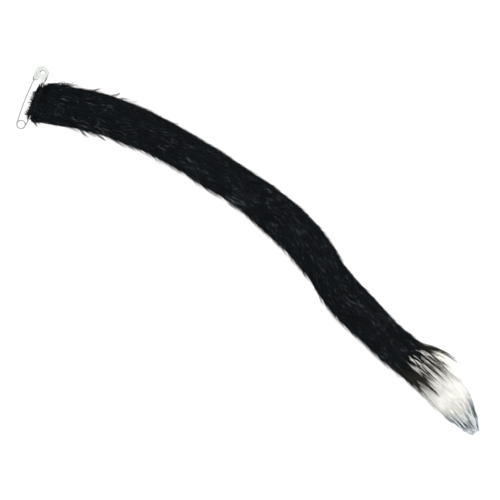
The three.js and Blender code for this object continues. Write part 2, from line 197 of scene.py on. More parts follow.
@dataclass
class TailForm:
    """The tail's bend and its sections, the same ones that the solids have."""

    origin: tuple[float, float]  # where the coil's centre is in the part's frame
    length: float = 500.0
    tip_length: float = 80.0
    fur_width: float = 36.0
    fur_height: float = 30.0
    pile_depth: float = 4.6
    pressed_pile: float = 2.2
    flattened: float = 0.9
    hem_offset: float = 1.9
    hem_along_pin: float = 20.5
    hem_turn_length: float = 32.0
    steps: int = 400
    overrun: float = 60.0  # how far the centre line goes on past both ends
    tip_pile: float = 14.0  # how far the pile goes on past the backing at the tip
    stations: np.ndarray = field(init=False)
    line: np.ndarray = field(init=False)

    def __post_init__(self) -> None:
        """Walks the centre line from the hem in short equal steps along its headings."""
        step = self.length / self.steps
        middles = (np.arange(self.steps) + 0.5) * step
        turns = np.radians(self.column("heading", middles))
        moves = np.stack([np.cos(turns), np.sin(turns)], axis=1) * step
        start = np.array([self.hem_offset, self.hem_along_pin]) + np.array(self.origin)
        walked = np.vstack([start, start + np.cumsum(moves, axis=0)])
        before = walked[0] - moves[0] / step * self.overrun
        after = walked[-1] + moves[-1] / step * self.overrun
        self.line = np.vstack([before, walked, after])
        inner = np.arange(self.steps + 1) * step
        self.stations = np.concatenate([[-self.overrun], inner, [self.length + self.overrun]])

    @property
    def seam(self) -> float:
        """Gives the distance from the hem to the seam between black and white."""
        return self.length - self.tip_length

    @property
    def girth(self) -> float:
        """Gives the usual distance round the backing."""
        half_width, half_height, _, _ = self.halves(np.array([self.length / 2]))
        return TURN * float(half_width[0] + half_height[0]) / 2

    def column(self, name: str, distance: np.ndarray) -> np.ndarray:
        """Reads a column of the sections at distances from the hem.

        Args:
            name: the column. Headings run straight between rows, and sizes ease.
            distance: distances from the hem.

        Returns:
            The column's value at each distance.
        """
        rows = np.array([row.at for row in SECTIONS])
        values = np.array([getattr(row, name) for row in SECTIONS])
        share = np.clip(np.asarray(distance, float) / self.length, 0, 1)
        after = np.clip(np.searchsorted(rows, share), 1, len(rows) - 1)
        t = (share - rows[after - 1]) / (rows[after] - rows[after - 1])
        eased = t if name == "heading" else t * t * (3 - 2 * t)
        return values[after - 1] + (values[after] - values[after - 1]) * eased

    def sideways(self, distance: np.ndarray) -> np.ndarray:
        """Gives the flat directions to the tail's left.

        Args:
            distance: distances from the hem.

        Returns:
            A unit vector across the tail for each distance.
        """
        fade = 1 - np.clip(np.asarray(distance, float) / self.hem_turn_length, 0, 1)
        slant = self.column("heading", np.zeros(1)) * fade
        turned = np.radians(self.column("heading", distance) - slant + 90)
        return np.stack([np.cos(turned), np.sin(turned)], axis=-1)

    def halves(self, distance: np.ndarray) -> tuple[np.ndarray, np.ndarray, np.ndarray, np.ndarray]:
        """Gives the backing's half sizes and the pile's depth.

        Args:
            distance: distances from the hem.

        Returns:
            Half the width, half the height, the pile and the pressed pile at each distance.
        """
        pile = self.column("pile", distance) * self.pile_depth
        pressed = self.column("pile", distance) * self.pressed_pile
        half_width = self.column("width", distance) * self.fur_width / 2 - pile
        half_height = (self.column("height", distance) * self.fur_height - pile - pressed) / 2
        return half_width, half_height, pile, pressed

    def outward(self, distance: np.ndarray, angle: np.ndarray) -> np.ndarray:
        """Gives the directions that point straight out of the backing.

        Args:
            distance: distances from the hem.
            angle: angles round the backing, 0 at the tail's left and a quarter turn at its top.

        Returns:
            A unit vector for each place.
        """
        half_width, half_height, _, _ = self.halves(distance)
        across, up = np.cos(angle) / half_width, np.sin(angle) / half_height
        size = np.hypot(across, up)
        side = self.sideways(distance)
        return np.concatenate([side * (across / size)[..., None], (up / size)[..., None]], axis=-1)

    def over(self, distance: np.ndarray, angle: np.ndarray, lift: np.ndarray) -> np.ndarray:
        """Gives places over the backing.

        Args:
            distance: distances from the hem.
            angle: angles round the backing.
            lift: heights over the backing in piles, which are less under the tail.

        Returns:
            A place in the part's frame for each distance, angle and lift.
        """
        half_width, half_height, pile, pressed = self.halves(distance)
        normal = np.stack([np.cos(angle) / half_width, np.sin(angle) / half_height], axis=-1)
        normal /= np.linalg.norm(normal, axis=-1, keepdims=True)
        below = np.maximum(-normal[..., 1], 0) * (lift > 0)
        rise = lift * (pile + (pressed - pile) * below)
        across = np.cos(angle) * half_width + normal[..., 0] * rise
        up = pressed - self.flattened + half_height * (1 + np.sin(angle)) + normal[..., 1] * rise
        middle = np.stack(
            [np.interp(distance, self.stations, self.line[:, k]) for k in (0, 1)], axis=-1
        )
        flat = middle + self.sideways(distance) * across[..., None]
        return np.concatenate([flat, up[..., None]], axis=-1)


def add_object(name: str, data: bpy.types.ID) -> bpy.types.Object:
    """Links a new object into the scene.

    Args:
        name: the object's name.
        data: its mesh, lamp or lens.

    Returns:
        The object.
    """
    added = bpy.data.objects.new(name, data)
    bpy.context.scene.collection.objects.link(added)
    return added


def new_object(name: str, mesh: bpy.types.Mesh, material: bpy.types.Material) -> bpy.types.Object:
    """Puts a mesh into the scene with its material.

    Args:
        name: the object's name.
        mesh: its mesh.
        material: its one material.

    Returns:
        The object.
    """
    mesh.materials.append(material)
    return add_object(name, mesh)


def settle(piece: bpy.types.Object, node: str) -> bpy.types.Object:
    """Hands a finished piece to the frame and reports it.

    Args:
        piece: the piece.
        node: the solid that it stands for.

    Returns:
        The piece.
    """
    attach(piece, "root")
    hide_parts(node)
    LOG.info("%s: %d faces", piece.name, len(piece.data.polygons))
    return piece


def mesh_from(name: str, points: np.ndarray, triangles: np.ndarray) -> bpy.types.Mesh:
    """Makes a smooth mesh from arrays.

    Args:
        name: the mesh's name.
        points: its places in millimetres.
        triangles: three point numbers for each face.

    Returns:
        The mesh, in metres.
    """
    mesh = bpy.data.meshes.new(name)
    mesh.vertices.add(len(points))
    mesh.vertices.foreach_set("co", (points * METRES).astype(np.float32).ravel())
    mesh.loops.add(triangles.size)
    mesh.loops.foreach_set("vertex_index", triangles.astype(np.int32).ravel())
    mesh.polygons.add(len(triangles))
    mesh.polygons.foreach_set("loop_start", np.arange(0, triangles.size, 3, dtype=np.int32))
    mesh.polygons.foreach_set("use_smooth", np.ones(len(triangles), dtype=bool))
    mesh.update(calc_edges=True)
    return mesh


def loft_triangles(rings: int, sides: int) -> np.ndarray:
    """Numbers the faces of a closed loft whose rings run anticlockwise seen from the last one.

    Args:
        rings: how many rings it has.
        sides: how many points each ring has.

    Returns:
        Three point numbers for each face, with a fan of faces over each end ring.
    """
    start = np.arange(rings - 1)[:, None] * sides
    i = np.arange(sides)[None, :]
    j = (i + 1) % sides
    a, b, c, d = start + i, start + j, start + sides + i, start + sides + j
    walls = [np.stack(three, -1).reshape(-1, 3) for three in ([a, b, d], [a, d, c])]
    k = np.arange(1, sides - 1)
    zero = np.zeros_like(k)
    last = (rings - 1) * sides
    first_end = np.stack([zero, k + 1, k], -1)
    last_end = np.stack([zero, k, k + 1], -1) + last
    return np.concatenate([*walls, first_end, last_end])


class Colour(Enum):
    """The two colours of fur."""

    BLACK = "black"
    WHITE = "white"


@dataclass(frozen=True)
class AcrylicPile(Finish):
    """Acrylic long pile: slivers of staple knitted into a backing, brushed and left uncut.

    Each hair is a smooth dyed plastic thread. The thin lines of light along the combed tufts are
    painted highlights, and the colour deepens towards the roots as painted shade under the pile.
    """

    # A hair's colours at its root, middle and end; the darker root is painted shade under the pile.
    root: str
    body: str
    end: str
    odd: str  # the hairs that differ from the rest
    odd_share: float
    painted_light: str  # painted highlights on bent black strands, shade lines on white ones
    painted_light_share: float
    painted_light_band: tuple[float, float, float]  # where on a hair it begins, is fullest and ends
    tail_end: str  # at the tail's end: painted blue-grey shade on white, olive on black
    end_streak_and_shadow: str  # darker ones: painted shadow between white locks, dark olive on black
    streak_share: float
    greys: tuple[float, float]  # the greying between which the end's colours set in
    tone_range: tuple[float, float]  # the darkest and the lightest tuft, as shares of the colour
    roughness: float
    specular: float  # of the usual one, since a tuft shades most of a hair's own shine
    ior: float = 1.49
    places: tuple[float, float, float] = (0.1, 0.45, 0.95)  # on a hair, of its first three colours
    streak_fade: float = 0.1  # over how much of the strands' chance values streaks set in
    painted_light_fade: float = 1.3  # chance value where painted light ends, in its shares
    greyed_from: float = 0.25  # where on a hair the end's colours begin
    greyed_full: float = 0.6  # and where they are full

    def shader(self, tree: bpy.types.NodeTree) -> bpy.types.Node:
        """Draws each hair's colour in its own cell of the map.

        Args:
            tree: where the nodes go.

        Returns:
            The finish's last node.
        """
        uv = add_node(tree, "UVMap", {"uv_map": MAP_NAME})
        cells = add_node(
            tree, "VectorMath", {"operation": "MULTIPLY", 1: (STRAND_GRID, STRAND_GRID, 0)}, {0: uv}
        )
        cell = add_node(tree, "VectorMath", {"operation": "FLOOR"}, {0: cells})
        inside = add_node(tree, "VectorMath", {"operation": "FRACTION"}, {0: cells})
        split = add_node(tree, "SeparateXYZ", links={0: inside})
        draw = add_node(tree, "TexWhiteNoise", {"noise_dimensions": "2D"}, {0: cell})
        # Painted shade along each hair: darker towards its root.
        along_hair = add_node(
            tree,
            "ValToRGB",
            links={0: split.outputs["Y"]},
            stops=tuple(zip(self.places, (self.root, self.body, self.end))),
        )
        differs = add_node(tree, "MapRange", {LOW: 1 - self.odd_share}, {0: draw.outputs["Value"]})
        hair = add_node(
            tree,
            "Mix",
            {"data_type": "RGBA", SECOND: linear(self.odd)},
            {0: differs, FIRST: along_hair},
        )
        # Painted light in a band along hairs: highlights on black ones, shade lines on white ones.
        strand = add_node(tree, "Attribute", {"attribute_name": DRAW_NAME})
        band = add_node(
            tree,
            "ValToRGB",
            links={0: split.outputs["Y"]},
            stops=tuple(zip(self.painted_light_band, (NONE, FULL, NONE))),
        )
        painted_light_strands = add_node(
            tree,
            "MapRange",
            {LOW: self.painted_light_share * self.painted_light_fade, HIGH: self.painted_light_share},
            {0: strand.outputs["Fac"]},
        )
        painted_light_mask = add_node(tree, "Math", {"operation": "MULTIPLY"}, {0: painted_light_strands, 1: band})
        with_painted_light = add_node(
            tree,
            "Mix",
            {"data_type": "RGBA", SECOND: linear(self.painted_light)},
            {0: painted_light_mask, FIRST: hair},
        )
        # Painted shade at the white tip's end and sides: blue-grey, dark streaks between its locks.
        streaked = add_node(
            tree,
            "MapRange",
            {LOW: 1 - self.streak_share, HIGH: 1 - self.streak_share + self.streak_fade},
            {0: strand.outputs["Fac"]},
        )
        end_colour = add_node(
            tree,
            "Mix",
            {"data_type": "RGBA", FIRST: linear(self.tail_end), SECOND: linear(self.end_streak_and_shadow)},
            {0: streaked},
        )
        greying = add_node(tree, "Attribute", {"attribute_name": GREYING_NAME})
        near_end = add_node(
            tree, "MapRange", {LOW: self.greys[0], HIGH: self.greys[1]}, {0: greying.outputs["Fac"]}
        )
        outer = add_node(
            tree,
            "MapRange",
            {LOW: self.greyed_from, HIGH: self.greyed_full},
            {0: split.outputs["Y"]},
        )
        ends = add_node(tree, "Math", {"operation": "MULTIPLY"}, {0: near_end, 1: outer})
        ended = add_node(
            tree, "Mix", {"data_type": "RGBA"}, {0: ends, FIRST: with_painted_light, SECOND: end_colour}
        )
        tuft = add_node(tree, "Attribute", {"attribute_name": TONE_NAME})
        lit = add_node(
            tree,
            "MapRange",
            {TO_LOW: self.tone_range[0], TO_HIGH: self.tone_range[1]},
            {0: tuft.outputs["Fac"]},
        )
        tone = add_node(tree, "VectorMath", {"operation": "SCALE"}, {0: ended, "Scale": lit})
        return add_node(
            tree,
            "BsdfPrincipled",
            {"Roughness": self.roughness, "IOR": self.ior, "Specular IOR Level": self.specular},
            {"Base Color": tone},
        )


@dataclass(frozen=True)
class KnittedBacking(Finish):
    """Polyester backing knit, dyed to match its pile and brushed over by it.

    It is matt and finely ribbed, and shows only as a darker ground between the hairs.
    """

    colour: str
    shade: str
    roughness: float = 0.9
    wale: float = 1.2  # the real knit has 1 mm wales

    def shader(self, tree: bpy.types.NodeTree) -> bpy.types.Node:
        """Draws ribs along the tail.

        Args:
            tree: where the nodes go.

        Returns:
            The finish's last node.
        """
        place = add_node(tree, "TexCoord")
        ribs = add_node(
            tree,
            "TexWave",
            {
                "bands_direction": "DIAGONAL",
                "Scale": scale_for(self.wale) / TURN,
                "Distortion": 1.5,
            },
            {"Vector": place.outputs["Object"]},
        )
        colour = add_node(
            tree,
            "ValToRGB",
            links={0: ribs.outputs["Fac"]},
            stops=((0.0, self.shade), (1.0, self.colour)),
        )
        bump = add_node(
            tree,
            "Bump",
            {"Strength": 0.4, "Distance": self.wale * METRES / 4},
            {"Height": ribs.outputs["Fac"]},
        )
        return add_node(
            tree,
            "BsdfPrincipled",
            {"Roughness": self.roughness, "Specular IOR Level": 0.2},
            {"Base Color": colour, "Normal": bump},
        )


@dataclass(frozen=True)
class NickelPlate(Finish):
    """Steel plated with nickel in a barrel, which leaves a bright skin with a soft bloom.

    The eye sees the white surroundings in it, greyer where the tool's marks dull it. Where its
    surface turns down, its colour is a painted reflection, as is the cap's near-white inner face.
    """

    colour: str
    dull: str
    flank_reflection: str  # painted reflection where the surface turns down
    roughness: float
    dull_roughness: float
    mark_size: tuple[float, float, float]  # of the marks left by the tool, across, along and up
    # Painted reflection: the near-white inner face that the cap's window shows.
    inside: str = "#F6F8F5"
    inside_below: float = -100.0  # the height under which a face that looks up is an inner one
    dull_to: float = 0.35  # the value of the marks up to which the plating is dull
    bright_from: float = 0.6  # and the one from which it is bright
    looks_up: float = 0.9  # how far a face's normal points up, at least, if it looks up
    flank_from: float = 0.85  # how far it points up or down where the flank's colour ends
    flat_from: float = 0.99  # and where the flat's colour is full

    def shader(self, tree: bpy.types.NodeTree) -> bpy.types.Node:
        """Draws tool marks in the plating's colour, roughness and surface, and painted reflections.

        Args:
            tree: where the nodes go.

        Returns:
            The finish's last node.
        """
        place = add_node(tree, "TexCoord")
        stretched = add_node(
            tree,
            "Mapping",
            {"Scale": tuple(scale_for(size) for size in self.mark_size)},
            {"Vector": place.outputs["Object"]},
        )
        marks = add_node(tree, "TexNoise", {"Scale": 1.0, "Detail": 3.0}, {"Vector": stretched})
        turns = {LOW: self.dull_to, HIGH: self.bright_from}
        colour = add_node(
            tree,
            "ValToRGB",
            links={0: marks},
            stops=tuple(zip(turns.values(), (self.dull, self.colour))),
        )
        rough = add_node(
            tree,
            "MapRange",
            {**turns, TO_LOW: self.dull_roughness, TO_HIGH: self.roughness},
            {0: marks},
        )
        bump = add_node(
            tree, "Bump", {"Strength": 0.15, "Distance": 0.02 * METRES}, {"Height": marks}
        )
        # Painted reflection: where the surface turns down it takes the flank's colour.
        facing = add_node(tree, "SeparateXYZ", links={0: place.outputs["Normal"]})
        upright = add_node(tree, "Math", {"operation": "ABSOLUTE"}, {0: facing.outputs["Z"]})
        level = add_node(
            tree, "MapRange", {LOW: self.flank_from, HIGH: self.flat_from}, {0: upright}
        )
        with_flank_reflection = add_node(
            tree,
            "Mix",
            {"data_type": "RGBA", FIRST: linear(self.flank_reflection)},
            {0: level, SECOND: colour},
        )
        # Painted reflection: an inner face that looks up, under the window, is drawn near-white.
        height = add_node(tree, "SeparateXYZ", links={0: place.outputs["Object"]})
        low = add_node(
            tree,
            "Math",
            {"operation": "LESS_THAN", 1: self.inside_below * METRES},
            {0: height.outputs["Z"]},
        )
        looks_up = add_node(
            tree, "Math", {"operation": "GREATER_THAN", 1: self.looks_up}, {0: facing.outputs["Z"]}
        )
        inner = add_node(tree, "Math", {"operation": "MULTIPLY"}, {0: low, 1: looks_up})
        plated = add_node(
            tree,
            "Mix",
            {"data_type": "RGBA", SECOND: linear(self.inside)},
            {0: inner, FIRST: with_flank_reflection},
        )
        return add_node(
            tree,
            "BsdfPrincipled",
            {"Metallic": 1.0},
            {"Base Color": plated, "Roughness": rough, "Normal": bump},
        )


@dataclass(frozen=True)
class OpalSheet(Finish):
    """A light table's opal acrylic sheet, cast and rubbed matt, and lit from below.

    The light that comes up through it leaves only a breath of shadow under what lies on it.
    """

    name: str = "Opal acrylic sheet, lit from below"
    colour: str = "#707070"
    cloud: str = "#6C6C6C"
    light: str = "#FFFFFF"
    cloud_size: float = 60.0
    glow: float = 0.93
    roughness: float = 0.6

    def shader(self, tree: bpy.types.NodeTree) -> bpy.types.Node:
        """Draws faint clouds and the light from below.

        Args:
            tree: where the nodes go.

        Returns:
            The finish's last node.
        """
        place = add_node(tree, "TexCoord")
        clouds = add_node(
            tree,
            "TexNoise",
            {"Scale": scale_for(self.cloud_size), "Detail": 2.0},
            {"Vector": place.outputs["Object"]},
        )
        colour = add_node(
            tree, "ValToRGB", links={0: clouds}, stops=((0.4, self.cloud), (0.6, self.colour))
        )
        return add_node(
            tree,
            "BsdfPrincipled",
            {
                "Roughness": self.roughness,
                "Specular IOR Level": 0.1,
                "Emission Color": linear(self.light),
                "Emission Strength": self.glow,
            },
            {"Base Color": colour},
        )


PILES = {
    Colour.BLACK: AcrylicPile(
        name="Black acrylic pile, brushed", root="#050607", body="#090D10", end="#0D1215",
        odd="#24292E", odd_share=0.12, painted_light="#62686E", painted_light_share=0.07,
        painted_light_band=(0.56, 0.65, 0.74), tail_end="#26251F", end_streak_and_shadow="#15150F", streak_share=0.5,
        greys=(0.83, 0.87), tone_range=(0.7, 1.3), roughness=0.4, specular=0.045,
    ),
    Colour.WHITE: AcrylicPile(
        name="Cream acrylic pile, brushed", root="#E2DFD2", body="#F9F7EF", end="#FCFBF6",
        odd="#C9C6B8", odd_share=0.12, painted_light="#CFCCBE", painted_light_share=0.12,
        painted_light_band=(0.0, 0.5, 1.0), tail_end="#E2EAEE", end_streak_and_shadow="#30454F", streak_share=0.3,
        greys=(0.947, 0.976), tone_range=(0.9, 1.0), roughness=0.5, specular=0.3,
    ),
}
BACKINGS = {
    Colour.BLACK: KnittedBacking("Black polyester backing knit", colour="#0B0B0D", shade="#050506"),
    Colour.WHITE: KnittedBacking("Cream polyester backing knit", colour="#D8D5C8", shade="#B4B1A5"),
}
NODES = {Colour.BLACK: "black_fur_sleeve", Colour.WHITE: "white_fur_tip"}
WIRE_PLATE = NickelPlate(
    name="Drawn steel wire, bright nickel plate", colour="#909292", dull="#858787", flank_reflection="#989A9A",
    roughness=0.2, dull_roughness=0.32, mark_size=(0.4, 6.0, 0.4),
)
SHEET_PLATE = NickelPlate(
    name="Pressed steel sheet, barrel nickel plate", colour="#B0B3AF", dull="#9EA19D",
    flank_reflection="#4A4E4B", roughness=0.3, dull_roughness=0.42, mark_size=(1.5, 3.0, 1.5),
    inside_below=9.5,
)


@dataclass
class StrandBundle:
    """Many closed tapered strands in one mesh, each with a cell of its own in the strands' map."""

    paths: np.ndarray  # strands, points of each, 3. The last point is the sharp end.
    outward: np.ndarray  # strands, 3
    widths: np.ndarray  # strands
    greying: np.ndarray  # strands, nearly the share of the tail's length where each one ends
    tone: np.ndarray  # strands, from 0 for the darkest tuft to 1 for the lightest
    draw: np.ndarray  # strands, from 0 to 1 by chance for each wisp that clings together
    root_share: float = 0.75  # a strand's width at its root, of its full width
    widest: float = 0.4  # where along it that is full
    end_share: float = 0.6  # its width at its last ring
    ridge: float = 0.9  # its thickness, of its width
    roundness: float = 0.9  # how far its sides' normals turn off its crest's

    @property
    def rings(self) -> int:
        """Gives how many rings of points a strand has."""
        return self.paths.shape[1] - 1

    def frame(self) -> tuple[np.ndarray, np.ndarray]:
        """Gives the direction across each strand and the one that its crest points in.

        Returns:
            Two unit vectors for each strand.
        """
        ahead = self.paths[:, -1] - self.paths[:, 0]
        ahead /= np.linalg.norm(ahead, axis=1, keepdims=True)
        side = np.cross(self.outward, ahead)
        side /= np.linalg.norm(side, axis=1, keepdims=True)
        return side, np.cross(ahead, side)

    def normals(self) -> np.ndarray:
        """Gives the points' normals, so that a hair is lit as a round one up to its sharp end.

        Returns:
            A unit vector for each point, as strands, points of a strand, 3.
        """
        side, crest = self.frame()
        tilt = math.sqrt(1 - self.roundness**2)
        flanks = [side * self.roundness + crest * tilt, crest, crest * tilt - side * self.roundness]
        ring = np.stack(flanks, axis=1)
        return np.concatenate([np.tile(ring, (1, self.rings, 1)), crest[:, None]], axis=1)

    def points(self) -> np.ndarray:
        """Gives each strand's ring points and its sharp end.

        Returns:
            Places as strands, points of a strand, 3.
        """
        side, crest = self.frame()
        spokes = np.stack([side, crest * 2 * self.ridge, -side], axis=1) / 2
        shares = [self.root_share, 1.0, self.end_share]
        taper = np.interp(np.linspace(0, 1, self.rings + 1)[:-1], [0, self.widest, 1], shares)
        sizes = self.widths[:, None] * taper[None, :]
        ringed = self.paths[:, :-1, None, :] + spokes[:, None, :, :] * sizes[:, :, None, None]
        flat = ringed.reshape(len(self.paths), self.rings * STRAND_SIDES, 3)
        return np.concatenate([flat, self.paths[:, -1:, :]], axis=1)

    def pattern(self) -> tuple[np.ndarray, np.ndarray]:
        """Gives one strand's faces and where their corners lie in its cell.

        Returns:
            Point numbers as faces, 3, and places in the cell as faces, 3, 2.
        """
        margin = 0.06  # keeps neighbouring cells apart
        foot = 0.1
        heights = np.linspace(foot, 1 - margin, self.rings + 1)
        faces = [(0, 2, 1)]
        corners = [((margin, margin), (1 - margin, margin), (0.5, foot))]
        for r in range(self.rings):
            low, high = heights[r], heights[r + 1]
            for i in range(STRAND_SIDES):
                j = (i + 1) % STRAND_SIDES
                left = margin + (1 - 2 * margin) * i / STRAND_SIDES
                right = margin + (1 - 2 * margin) * (i + 1) / STRAND_SIDES
                a, b = r * STRAND_SIDES + i, r * STRAND_SIDES + j
                if r == self.rings - 1:
                    faces.append((a, b, self.rings * STRAND_SIDES))
                    corners.append(((left, low), (right, low), ((left + right) / 2, high)))
                    continue
                faces += [(a, b, b + STRAND_SIDES), (a, b + STRAND_SIDES, a + STRAND_SIDES)]
                corners.append(((left, low), (right, low), (right, high)))
                corners.append(((left, low), (right, high), (left, high)))
        return np.array(faces), np.array(corners)

    def build(self, name: str, material: bpy.types.Material) -> bpy.types.Object:
        """Builds the mesh of all the strands.

        Args:
            name: the object's name.
            material: its material.

        Returns:
            The object.
        """
        count = len(self.paths)
        points = self.points()
        each = points.shape[1]
        faces, corners = self.pattern()
        numbers = faces[None] + (np.arange(count) * each)[:, None, None]
        mesh = mesh_from(name, points.reshape(-1, 3), numbers.reshape(-1, 3))
        cell = np.stack([np.arange(count) % STRAND_GRID, np.arange(count) // STRAND_GRID], -1)
        uv = (corners[None] + cell[:, None, None, :]) / STRAND_GRID
        layer = mesh.uv_layers.new(name=MAP_NAME)
        layer.data.foreach_set("uv", uv.astype(np.float32).ravel())
        traits = {GREYING_NAME: self.greying, TONE_NAME: self.tone, DRAW_NAME: self.draw}
        for key, values in traits.items():
            layer = mesh.attributes.new(key, "FLOAT", "POINT")
            layer.data.foreach_set("value", np.repeat(values, each).astype(np.float32))
        mesh.normals_split_custom_set_from_vertices(self.normals().reshape(-1, 3))
        return new_object(name, mesh, material)


@dataclass(frozen=True)
class Locks:
    """How large the locks or tufts of a pile are and how much they differ."""

    length: float  # from one to the next along the tail
    width: float  # and round it
    sway: float  # how far they turn off the tail's direction at most, in radians


@dataclass(frozen=True)
class Pile:
    """How one stretch of pile is planted and how its hairs fall."""

    start: float  # where it begins and ends, along the tail from the hem
    end: float
    strands: int
    start_run: float = 0.0  # how much further on it begins and ends at the tail's two sides
    end_run: float = 0.0
    thinning: float = 1.0  # above 1 it is planted ever more thinly towards its end
    length: float = 24.0  # of a hair
    uneven: float = 0.3  # the share by which hairs differ in length
    width: float = 0.34  # of a hair as drawn, since a real one is too fine to show
    gather: float = 0.3  # how far the hairs of a tuft close up at its end
    cling: float = 0.5  # and those of one wisp in it
    lift: float = 0.9  # of the highest tufts' ends over the backing, in piles
    relief: float = 0.24  # how much lower the lowest tufts are, of that
    stray: float = 0.05  # how far single hairs stand off, in piles
    loose_share: float = 0.14  # of the wisps that stand off
    loose: float = 0.5  # and how far, in piles
    splay: float = 0.05  # how far single hairs turn, in radians
    ruffle: float = 0.9  # how much more they stand off on the tail's right
    under_share: float = 0.45  # how densely the underside is planted, of the rest
    points: int = 3  # of each hair's path, with its sharp end


@dataclass(frozen=True)
class Wisp:
    """One loose lock, by its places along the tail and to the tail's left."""

    distances: tuple[float, ...]
    lefts: tuple[float, ...]
    hairs: int
    spread: float  # at its root
    spread_end: float = 0.2  # at its end, of that at its root
    rise: float = 1.25  # of its highest hairs over the backing, in piles
    draw: float = 0.5  # chance value from 0 for a painted glint to 1 for a painted shadow streak
    width: float = 0.28  # of a hair as drawn


@dataclass(frozen=True)
class WispField:
    """Many thin wisps scattered over one stretch of the tail's top."""

    count: int
    starts: tuple[float, float]  # between which they begin
    runs: tuple[float, float]  # their lengths
    sides: tuple[float, float]  # where they begin across the tail, as shares of half its width
    hairs: int
    spread: float
    rise: float = 1.3
    drift: float = 0.07  # how far they wander sideways, of half the width
    draw: float = 0.5
    width: float = 0.28
    places: int = 4  # along each wisp

    def scatter(self, form: TailForm, rng: np.random.Generator) -> tuple[Wisp, ...]:
        """Scatters the wisps.

        Args:
            form: the tail's form.
            rng: where the chances come from.

        Returns:
            The wisps.
        """
        wisps = []
        for _ in range(self.count):
            start = rng.uniform(*self.starts)
            distances = start + np.linspace(0, rng.uniform(*self.runs), self.places)
            half_width, _, pile, _ = form.halves(distances)
            side = rng.uniform(*self.sides)
            side = side + rng.normal(0, self.drift) * np.linspace(0, 1, self.places)
            lefts = side * (half_width + pile)
            shape = {"rise": self.rise, "draw": self.draw, "width": self.width}
            wisps.append(Wisp(tuple(distances), tuple(lefts), self.hairs, self.spread, **shape))
        return tuple(wisps)


